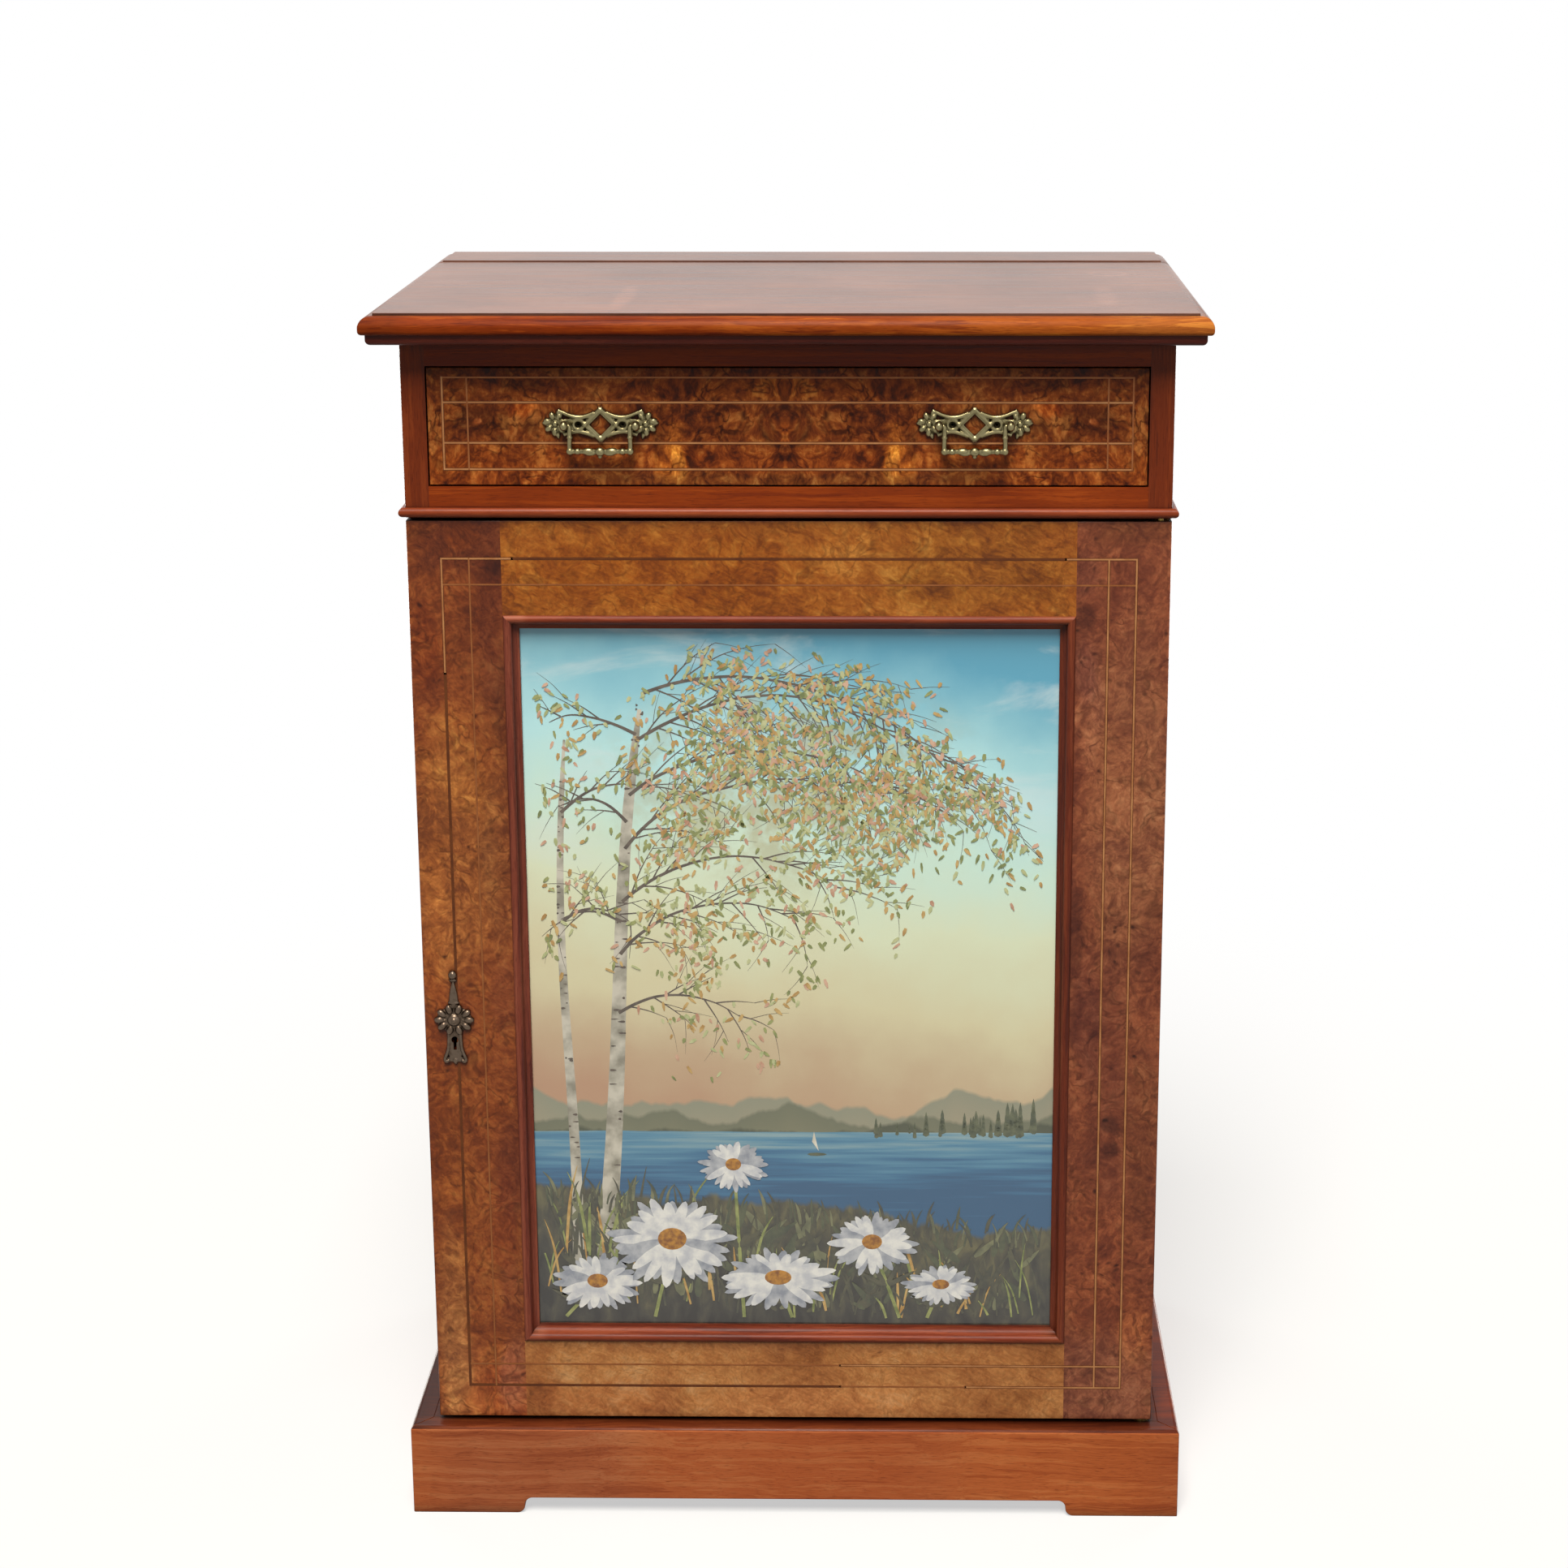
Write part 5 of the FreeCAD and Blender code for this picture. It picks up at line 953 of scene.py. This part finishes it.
def makeLandscape():
    material, add, shader = newMaterial("oilOnGlass")
    place = add("TexCoord")
    axes = add("SeparateXYZ", {}, {0: place.outputs["Object"]})
    x, z = axes.outputs[0], axes.outputs[2]
    stretch = lambda width, height, deep=1: (1000 / width, deep, 1000 / height)
    brush = add("TexNoise", {"Scale": 1000 / panel["brush"], "Detail": 5.0},
                {"Vector": place.outputs["Object"]})
    height = add("MapRange", {1: panel["shore"] * mm, 2: panel["skyTop"] * mm, 3: 0.0, 4: 1.0}, {0: z})
    blown = add("Math MULTIPLY_ADD", {1: 0.26}, {0: brush, 2: height})
    leaning = add("Math MULTIPLY_ADD", {1: 0.34}, {0: x, 2: blown})
    lowered = add("Math SUBTRACT", {1: 0.13}, {0: leaning})
    sky = add("ValToRGB", {"stops": [(0.0, "#ba9476"), (0.12, "#c4aa88"), (0.27, "#dad2aa"),
                                     (0.44, "#dfe8c6"), (0.60, "#d0eedd"), (0.74, "#baeaec"),
                                     (0.87, "#8ecad8"), (1.0, "#5aa6c2")]}, {0: lowered})
    cloudPlace = add("VectorMath MULTIPLY", {1: stretch(*panel["cloud"])}, {0: place.outputs["Object"]})
    cloud = add("TexNoise", {"Scale": 1.0, "Detail": 6.0, "Roughness": 0.58, "Distortion": 0.4},
                {"Vector": cloudPlace})
    cloudMask = add("MapRange", {1: 0.50, 2: 0.68, 3: 0.0, 4: 1.0, **soft}, {0: cloud})
    cloudBand = add("MapRange", {1: 0.46, 2: 0.78, 3: 0.0, 4: 0.6}, {0: height})
    cloudSeen = add("Math MULTIPLY", {}, {0: cloudMask, 1: cloudBand})
    clouded = add("Mix", {**colourMix, 7: linear("#dbeaea")}, {0: cloudSeen, 6: sky})

    # a haze of leaves behind the boughs
    crownOff = add("VectorMath SUBTRACT", {1: (panel["crown"][0] * mm, 0, panel["crown"][1] * mm)},
                   {0: place.outputs["Object"]})
    crownSized = add("VectorMath MULTIPLY", {1: stretch(*panel["crownSize"], 0)}, {0: crownOff})
    crownFar = add("VectorMath LENGTH", {}, {0: crownSized})
    crownNear = add("MapRange", {1: 0.35, 2: 1.05, 3: 1.0, 4: 0.0, **soft}, {0: crownFar.outputs["Value"]})
    haze = add("TexNoise", {"Scale": 1000 / panel["haze"], "Detail": 5.0, "Roughness": 0.6},
               {"Vector": place.outputs["Object"]})
    hazeMask = add("MapRange", {1: 0.42, 2: 0.62, 3: 0.0, 4: 0.62, **soft}, {0: haze})
    hazeSeen = add("Math MULTIPLY", {}, {0: hazeMask, 1: crownNear})
    hazed = add("Mix", {**colourMix, 7: linear("#b3a878")}, {0: hazeSeen, 6: clouded.outputs[2]})

    # hills, nearest last: ridge height and roll in mm, width of a rise, haze colour to foot colour
    lastColour = hazed.outputs[2]
    for ridge, roll, wide, start, crest, foot in panel["ridges"]:
        along = add("Math MULTIPLY_ADD", {1: 1000 / wide, 2: start}, {0: x})
        rise = add("TexNoise", {"noise_dimensions": "1D", "Scale": 1.0, "Detail": 5.0, "Roughness": 0.5},
                   {"W": along})
        top = add("Math MULTIPLY_ADD", {1: roll * 2 * mm, 2: (ridge - roll) * mm}, {0: rise})
        below = add("Math SUBTRACT", {}, {0: top, 1: z})
        mask = add("MapRange", {1: -0.0012, 2: 0.0024, 3: 0.0, 4: 1.0}, {0: below})
        shade = add("MapRange", {1: 0.0, 2: 0.045, 3: 0.0, 4: 1.0}, {0: below})
        dab = add("Math MULTIPLY_ADD", {1: 0.5}, {0: brush, 2: shade})
        hill = add("ValToRGB", {"stops": [(0.2, crest), (1.0, foot)]}, {0: dab})
        layer = add("Mix", colourMix, {0: mask, 6: lastColour, 7: hill})
        lastColour = layer.outputs[2]

    # the lake, with level strokes of light
    strokePlace = add("VectorMath MULTIPLY", {1: stretch(*panel["ripple"])}, {0: place.outputs["Object"]})
    strokes = add("TexNoise", {"Scale": 1.0, "Detail": 4.0}, {"Vector": strokePlace})
    depth = add("MapRange", {1: panel["shore"] * mm, 2: panel["bank"] * mm, 3: 0.0, 4: 0.6}, {0: z})
    rippled = add("Math ADD", {}, {0: depth, 1: strokes})
    water = add("ValToRGB", {"stops": [(0.38, "#8ca8ae"), (0.6, "#5b8ba4"), (0.8, "#416f90"),
                                       (0.98, "#365a7a")]}, {0: rippled})
    waterEdge = add("Math MULTIPLY_ADD", {1: 0.004, 2: panel["shore"] * mm - 0.002}, {0: brush})
    waterMask = add("Math LESS_THAN", {}, {0: z, 1: waterEdge})
    lake = add("Mix", colourMix, {0: waterMask, 6: lastColour, 7: water})

    # the near bank: olive and grey-brown, brushed upwards
    grassPlace = add("VectorMath MULTIPLY", {1: stretch(*panel["grass"])}, {0: place.outputs["Object"]})
    grass = add("TexNoise", {"Scale": 1.0, "Detail": 4.0, "Distortion": 0.5}, {"Vector": grassPlace})
    bankAlong = add("Math MULTIPLY_ADD", {1: 1000 / panel["bankRoll"], 2: 4.4}, {0: x})
    bankRise = add("TexNoise", {"noise_dimensions": "1D", "Scale": 1.0, "Detail": 6.0}, {"W": bankAlong})
    slope = add("Math MULTIPLY_ADD", {1: -0.10, 2: panel["bank"] * mm - 0.034}, {0: x})
    bankTop = add("Math MULTIPLY_ADD", {1: 0.06}, {0: bankRise, 2: slope})
    ragged = add("Math MULTIPLY_ADD", {1: 0.012}, {0: grass, 2: bankTop})
    under = add("Math SUBTRACT", {}, {0: ragged, 1: z})
    bankMask = add("MapRange", {1: -0.001, 2: 0.004, 3: 0.0, 4: 1.0}, {0: under})
    bankShade = add("MapRange", {1: 0.0, 2: 0.11, 3: 0.12, 4: -0.12}, {0: under})
    bankTone = add("Math ADD", {}, {0: grass, 1: bankShade})
    bank = add("ValToRGB", {"stops": [(0.28, "#24221d"), (0.45, "#38362e"), (0.58, "#4a4738"),
                                      (0.74, "#676246")]}, {0: bankTone})
    whole = add("Mix", colourMix, {0: bankMask, 6: lake.outputs[2], 7: bank})
    setShader(shader, Base_Color=whole.outputs[2], **oilFinish)
    return material


# Oil colour of one touch in the picture: two tones of it, mixed by the brush
def oilTouch(name, dark, light, size=9):
    material, add, shader = newMaterial(name)
    place = add("TexCoord")
    brush = add("TexNoise", {"Scale": 1000 / size, "Detail": 3.0}, {"Vector": place.outputs["Object"]})
    colour = add("ValToRGB", {"stops": [(0.34, dark), (0.64, light)]}, {0: brush})
    setShader(shader, Base_Color=colour, **oilFinish)
    return material


oilWhite = oilTouch("oilWhite", "#c4c6ca", "#ecebe4")
oilWhiteShade = oilTouch("oilWhiteShade", "#8d929c", "#bdbfc2")
oilOchre = oilTouch("oilOchre", "#7a4a1c", "#b98230", 4)
oilLeafGreen = oilTouch("oilLeafGreen", "#6c7642", "#9ba062")
oilLeafPale = oilTouch("oilLeafPale", "#a4ac74", "#c8ca98")
oilLeafGold = oilTouch("oilLeafGold", "#a67e40", "#cdac6c")
oilLeafRose = oilTouch("oilLeafRose", "#b5866a", "#d8b094")
oilGrassDark = oilTouch("oilGrassDark", "#3a3a30", "#54523f")
oilBankLeaf = oilTouch("oilBankLeaf", "#3e4234", "#565a42", 12)
oilBankLeafPale = oilTouch("oilBankLeafPale", "#5a5c46", "#7c7c5c", 12)
oilBark = oilTouch("oilBark", "#8b8676", "#cdc7b6", 16)
oilBarkMark = oilTouch("oilBarkMark", "#463c32", "#62564a")
oilTreeFar = oilTouch("oilTreeFar", "#464c3a", "#62664c", 6)
oilSail = oilTouch("oilSail", "#cfc8b4", "#e6e0d0")

# Motifs of the picture, in mm: birches on the left, marguerites at their feet, firs and a sail across the
# water. Each touch lies a hair above the one before it, so no two share a plane.
motifs = {"seed": 23, "edge": (221.0, 174.0, 796.5), "barkMarks": 46, "boughStep": 11, "leafChance": 0.55,
          "firs": 30, "firShore": (64, 216, 349), "bankLeaves": 210, "blades": 190, "tufts": 140,
          "petals": 17, "flowerFoot": 178,
          "trunks": [((-168.0, 190.0), (-112.0, 778.0), 20.0), ((-194.0, 204.0), (-186.0, 748.0), 12.0)],
          "boughs": [(0, 0.46, 44, 120, 1), (0, 0.55, 56, 165, 1), (0, 0.63, 48, 200, 1),
                     (0, 0.71, 54, 240, 1), (0, 0.79, 44, 270, 1), (0, 0.87, 36, 290, 1),
                     (0, 0.94, 22, 300, 1), (0, 0.60, 130, 60, -1), (0, 0.75, 128, 76, -1),
                     (0, 0.88, 140, 84, -1), (1, 0.62, 60, 70, 1), (1, 0.80, 58, 80, 1)],
          "flowers": [(-106, 252, 57, 0.82, -8), (-14, 216, 53, 0.6, 6), (-172, 212, 41, 0.74, -14),
                      (68, 250, 40, 0.8, 12), (-52, 322, 31, 0.84, 4), (128, 210, 34, 0.62, -6)]}


def insidePanel(x, z, margin):
    edgeX, low, high = motifs["edge"]
    return abs(x) < edgeX - margin and low + margin < z < high - margin


def makePanel():
    low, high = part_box("painted_glass")
    bm = bmesh.new()
    bmesh.ops.create_cube(bm, size=1, matrix=placed(low, high))
    bmesh.ops.bevel(bm, geom=bm.edges[:], offset=panel["arris"] * mm, offset_type="OFFSET", segments=2,
                    profile=0.5, affect="EDGES", material=-1)
    finishPiece(bm, "paintedGlass", "door", [makeLandscape()], ["painted_glass"])


def trunkPoint(number, t):
    (footX, footZ), (topX, topZ) = motifs["trunks"][number][:2]
    sway = 6 * math.sin(t * 5.4 + number)
    return footX + (topX - footX) * (0.3 * t + 0.7 * t * t) + sway, footZ + (topZ - footZ) * t


# A bough: it leaves at a heading, bends over and throws off twigs; returns its lines and its leaf places
def growBough(chance, x, z, heading, length, share, side, depth):
    line, lines, places = [(x, z, share)], [], []
    stride = motifs["boughStep"]
    steps = max(3, int(length / stride))
    for step in range(steps):
        heading -= side * chance.uniform(0.02, 0.17) * (14 / steps if depth == 0 else 1.1)
        x += stride * math.cos(heading)
        z += stride * math.sin(heading)
        if not insidePanel(x, z, 6):
            break
        line.append((x, z, share * (1 - 0.8 * (step + 1) / steps)))
        if depth > 0:
            places.append((x, z))
        if depth < 2 and chance.random() < (0.85 if depth == 0 else 0.5):
            twigHeading = heading + chance.choice((-0.75, 0.55)) * chance.uniform(0.6, 1.2)
            twigLength = length * chance.uniform(0.16, 0.30) + 14
            more = growBough(chance, x, z, twigHeading, twigLength, share * 0.45, side, depth + 1)
            lines += more[0]
            places += more[1]
    return ([line] if len(line) > 2 else []) + lines, places


def makeBirch(chance):
    bm = bmesh.new()
    for number, shape in enumerate(motifs["trunks"]):
        width = shape[2]
        trunk = [(*trunkPoint(number, t / 12), 1 - 0.62 * t / 12 - 0.24 * (t > 10)) for t in range(12)]
        trunk = [(x, z, share) for x, z, share in trunk if insidePanel(x, z, 1)]
        addRibbons(bm, [trunk], width, glassY - 0.02 - 0.02 * number, 0, 0.12)
        for mark in range(motifs["barkMarks"]):
            t = chance.uniform(0.02, 0.93)
            x, z = trunkPoint(number, t)
            half = width / 2 * (1 - 0.62 * t)
            side = chance.choice((-1, 1))
            if insidePanel(x, z, 8):
                addLeaf(bm, x + side * half * chance.uniform(0.6, 0.95), z, chance.uniform(0.3, 1.1) * half,
                        chance.uniform(1.2, 3.6), math.pi if side > 0 else 0.0, glassY - 0.17 - 0.001 * mark,
                        1, 0.75, 8, 0.03)
    # leaves sit twice at each place of the crowns, then along the twigs
    crown = (15, 16, 17, 17.5, 18, 18.5, 19)
    places = [trunkPoint(number, t / 20) for number in (0, 1) for t in crown for again in range(2)]
    for order, (number, t, heading, length, side) in enumerate(motifs["boughs"]):
        x, z = trunkPoint(number, t)
        lines, found = growBough(chance, x, z, math.radians(heading), length, 1.0, side, 0)
        addRibbons(bm, lines, 3.4, glassY - 0.10 - 0.004 * order, 1, 0.07)
        places += found
    intoMetres(bm)
    finishPiece(bm, "pictureBirch", "door", [oilBark, oilBarkMark])
    leaves, chunk = bmesh.new(), bmesh.new()
    laid = 0
    for x, z in places:
        for number in range(3):
            a, b = x + chance.gauss(0, 5.5), z + chance.gauss(-3, 6.5)
            if chance.random() < motifs["leafChance"] and insidePanel(a, b, 11):
                laid += 1
                addLeaf(chunk, a, b, chance.uniform(5, 10), chance.uniform(3.0, 5.2),
                        chance.uniform(-2.7, -0.4), glassY - 0.20 - 0.00012 * laid,
                        chance.choice((0, 0, 1, 1, 2, 2, 3)), 0.6, 6, 0.02)
        if len(chunk.verts) > 600:
            chunk = pour(chunk, leaves)
    pour(chunk, leaves)
    print("birch leaves", laid)
    intoMetres(leaves)
    finishPiece(leaves, "pictureLeaves", "door", [oilLeafGreen, oilLeafPale, oilLeafGold, oilLeafRose])


def makeFarTrees(chance):
    bm = bmesh.new()
    shoreLeft, shoreRight, shoreFoot = motifs["firShore"]
    for number in range(motifs["firs"]):
        x = shoreLeft + (shoreRight - shoreLeft) * chance.random() ** 0.8
        foot = shoreFoot + chance.uniform(-3, 2)
        tall = chance.uniform(12, 34) * (0.5 + 0.5 * (x - 60) / 150)
        wide = tall * chance.uniform(0.34, 0.5)
        for tier in range(4):
            if insidePanel(x, foot, wide * 0.6 + 2):
                y = glassY - 0.03 - 0.001 * number - 0.0003 * tier
                addLeaf(bm, x, foot + tall * 0.2 * tier, tall * 0.46, wide * (1 - 0.18 * tier), math.pi / 2,
                        y, 0, 0.85, 8, 0.03)
    # a small boat far out
    addLeaf(bm, 20, 333, 21, 9, math.radians(97), glassY - 0.08, 1, 0.9, 3, 0.03)
    addLeaf(bm, 12, 331.5, 17, 3.4, 0.0, glassY - 0.09, 0, 0.2, 8, 0.03)
    intoMetres(bm)
    finishPiece(bm, "pictureFirs", "door", [oilTreeFar, oilSail])


def makeGrasses(chance):
    bm = bmesh.new()
    # broad leaves of the bank, in the dark
    for number in range(motifs["bankLeaves"]):
        x = chance.uniform(-208, 208)
        foot = chance.uniform(182, 258) - 0.10 * x
        size = chance.uniform(16, 34)
        turn = chance.uniform(0.5, 2.6)
        tipX, tipZ = x + size * math.cos(turn), foot + size * math.sin(turn)
        if insidePanel(tipX, tipZ, 6) and insidePanel(x, foot, 8):
            wide = size * chance.uniform(0.24, 0.4)
            y = glassY - 0.16 - 0.0006 * number
            addLeaf(bm, x, foot, size, wide, turn, y, chance.choice((0, 3, 3, 4)), 0.65, 10, 0.02)
    # blades, the last of them short tufts along the edge of the bank
    for number in range(motifs["blades"] + motifs["tufts"]):
        tuft = number >= motifs["blades"]
        x = chance.uniform(-216, 216)
        foot = (chance.uniform(258, 276) if tuft else chance.uniform(177, 226)) - 0.09 * x
        tall = chance.uniform(12, 26) if tuft else chance.uniform(22, 80) * (1.2 if x < -90 else 0.7)
        lean = chance.uniform(-0.5, 0.5) * tall
        blade = [(x, foot, 0.7), (x + lean * 0.2, foot + tall * 0.4, 1),
                 (x + lean * 0.55, foot + tall * 0.75, 0.7), (x + lean, foot + tall * 0.96, 0.15)]
        blade = [(a, b, share) for a, b, share in blade if insidePanel(a, b, 3)]
        if len(blade) > 2:
            wide = chance.uniform(1.8, 3.6)
            tone = chance.choice((0, 0, 3, 4) if tuft else (0, 0, 0, 0, 1, 2))
            addRibbons(bm, [blade], wide, glassY - 0.24 - 0.0004 * number, tone, 0.05)
    intoMetres(bm)
    tones = [oilGrassDark, oilLeafGreen, oilLeafGold, oilBankLeaf, oilBankLeafPale]
    finishPiece(bm, "pictureGrasses", "door", tones)


def makeMarguerites(chance):
    bm = bmesh.new()
    for number, (x, z, size, squash, lean) in enumerate(motifs["flowers"]):
        y = glassY - 0.40 - 0.07 * (len(motifs["flowers"]) - number)
        middle = (z + motifs["flowerFoot"]) / 2
        stem = [(x + lean * 2, motifs["flowerFoot"], 1), (x + lean, middle, 1), (x + 1, z - 6, 0.8)]
        addRibbons(bm, [stem], 3.6, y + 0.03, 3, 0.04)
        for turn in (30, 150, 62, 118):
            addLeaf(bm, x + lean, middle - 6, size * 0.75, size * 0.17, math.radians(turn),
                    y + 0.02 - 0.0002 * turn, 4, 0.7, 8, 0.01)
        petals = motifs["petals"]
        for ring, material in ((1.0, 1), (0.95, 0)):
            for petal in range(petals):
                angle = 2 * math.pi * (petal + 0.5 * (ring < 1)) / petals + chance.uniform(-0.09, 0.09)
                across, up = math.cos(angle), squash * math.sin(angle)
                length = size * ring * chance.uniform(0.84, 1.06)
                stretch = math.hypot(across, up)
                turn = math.atan2(up, across) + chance.uniform(-0.06, 0.06)
                wide = size * chance.uniform(0.17, 0.24) * (0.6 + 0.4 * squash)
                far = 1.0 if math.sin(angle) < 0.2 else 0.86
                if insidePanel(x + length * across, z + length * up, 2):
                    layer = y - (0.02 if ring < 1 else 0) - 0.0008 * petal
                    tone = material if chance.random() < 0.78 else 1
                    addLeaf(bm, x + 0.12 * size * across, z + 0.12 * size * up, length * 0.88 * stretch * far,
                            wide, turn, layer, tone, 0.05, 12, 0.012)
        heart = addBall(bm, x, y - 0.04, z, size * 0.22, 0.16, size * 0.22 * squash, rings=10)
        for face in {f for v in heart for f in v.link_faces}:
            face.material_index = 2
    intoMetres(bm)
    finishPiece(bm, "pictureMarguerites", "door",
                [oilWhite, oilWhiteShade, oilOchre, oilLeafGreen, oilGrassDark])


makePanel()
chance = random.Random(motifs["seed"])
makeFarTrees(chance)
makeBirch(chance)
makeGrasses(chance)
makeMarguerites(chance)
print("painted panel made")

# Nails along the edges of the back boards, in mm
nails = {"spacing": 108.0, "head": 2.2, "rise": 0.5, "inset": 5.0, "joint": 9.0, "end": 24.0}


def makeNails():
    low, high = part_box("back_board_left")
    bm = bmesh.new()
    outer = low.x / mm + nails["inset"]
    tall = (high.z - low.z) / mm
    count = int(tall / nails["spacing"])
    for x in (outer, -nails["joint"], nails["joint"], -outer):
        for number in range(count + 1):
            z = low.z / mm + nails["end"] + number * (tall - 2 * nails["end"]) / count
            addBall(bm, x, high.y / mm, z, nails["head"], nails["rise"], nails["head"], around=14, rings=8)
    intoMetres(bm)
    finishPiece(bm, "backNails", "cabinet", [iron])


makeNails()
print("back nailed")

# Pale floor and surroundings, a large soft lamp high in front, as in a daylit studio, and low light behind;
# each lamp is (name, place, aim, size, power, colour), in metres and watts
stageLook = {"floor": "#565654", "floorSeen": "#e2e2e0", "floorSize": 14, "whiteFrom": 0.5, "whiteTo": 1.7,
             "whiteLeast": 0.55, "sky": 0.09,
             "lamps": [("keyLamp", (-0.3, -4.1, 7.8), (0, -0.2, 0.5), (2.6, 5.0), 1060.0, "#fffaf2"),
                       ("rearLampLeft", (-2.6, 2.7, 0.5), (0, 0.1, 0.55), (1.8, 0.9), 86.0, "#fffaf2"),
                       ("rearLampRight", (2.6, 2.7, 0.5), (0, 0.1, 0.55), (1.8, 0.9), 86.0, "#fffaf2"),
                       ("fillLamp", (1.6, -3.6, 1.5), (0, 0, 0.6), (2.2, 1.6), 12.0, "#f4f8ff")]}


# How far a ray comes from the camera, straight or by way of a mirror
def seenShare(add):
    ray = add("LightPath")
    mirrored = add("Math MAXIMUM", {},
                   {0: ray.outputs["Is Glossy Ray"], 1: ray.outputs["Is Transmission Ray"]})
    return add("Math MAXIMUM", {}, {0: ray.outputs["Is Camera Ray"], 1: mirrored})


def addLamp(name, place, aim, size, power, colour):
    lamp = bpy.data.lights.new(name, "AREA")
    lamp.shape = "RECTANGLE"
    lamp.size, lamp.size_y = size
    lamp.energy = power
    lamp.color = linear(colour)[:3]
    holder = bpy.data.objects.new(name, lamp)
    holder.location = place
    holder.rotation_euler = (Vector(aim) - Vector(place)).to_track_quat("-Z", "Y").to_euler()
    holder.visible_camera = False
    bpy.context.scene.collection.objects.link(holder)


def makeStage():
    bm = bmesh.new()
    bmesh.ops.create_grid(bm, x_segments=2, y_segments=2, size=stageLook["floorSize"])
    mesh = bpy.data.meshes.new("floor")
    bm.to_mesh(mesh)
    bm.free()
    floor = bpy.data.objects.new("floor", mesh)
    bpy.context.scene.collection.objects.link(floor)
    material, add, shader = newMaterial("paleFloor")
    seen = seenShare(add)
    shade = add("Mix", {**colourMix, 6: linear(stageLook["floor"]), 7: linear(stageLook["floorSeen"])},
                {0: seen})
    setShader(shader, Base_Color=shade.outputs[2], Roughness=0.9, Specular_IOR_Level=0.0)
    place = add("TexCoord")
    reach = add("VectorMath LENGTH", {}, {0: place.outputs["Object"]})
    white = add("MapRange", {1: stageLook["whiteFrom"], 2: stageLook["whiteTo"], 3: stageLook["whiteLeast"],
                             4: 1.0, **soft}, {0: reach.outputs["Value"]})
    share = add("Math MULTIPLY", {}, {0: white, 1: seen})
    bright = add("Emission", {"Color": (1, 1, 1, 1), "Strength": 1.0})
    mixed = add("MixShader", {}, {0: share, 1: shader, 2: bright})
    setShader(material.node_tree.nodes["Material Output"], Surface=mixed)
    mesh.materials.append(material)

    world = bpy.data.worlds.new("studio")
    world.use_nodes = True
    bpy.context.scene.world = world
    add = partial(addNode, world.node_tree)
    seen = seenShare(add)
    strength = add("MapRange", {1: 0.0, 2: 1.0, 3: stageLook["sky"], 4: 1.0}, {0: seen})
    setShader(world.node_tree.nodes["Background"], Color=(1, 1, 1, 1), Strength=strength)

    for lamp in stageLook["lamps"]:
        addLamp(*lamp)


makeStage()

# Camera fitted to the photograph's corners
cameraLook = {"place": (0.0934, -2.5691, 1.3672), "yaw": 0.0146, "pitch": 0.2412, "roll": -0.0015,
              "lens": 68.07, "sensor": 36, "far": 60, "shift": (-0.0487, -0.0859)}
eye = bpy.data.cameras.new("camera")
eye.sensor_width = cameraLook["sensor"]
eye.lens = cameraLook["lens"]
eye.shift_x, eye.shift_y = cameraLook["shift"]
eye.clip_end = cameraLook["far"]
camera = bpy.data.objects.new("camera", eye)
camera.matrix_world = (Matrix.Translation(cameraLook["place"]) @ Matrix.Rotation(cameraLook["yaw"], 4, "Z")
                       @ Matrix.Rotation(math.pi / 2 - cameraLook["pitch"], 4, "X")
                       @ Matrix.Rotation(cameraLook["roll"], 4, "Z"))
bpy.context.scene.collection.objects.link(camera)
bpy.context.scene.camera = camera
bpy.context.scene.view_settings.view_transform = "Standard"
print("stage and camera set")
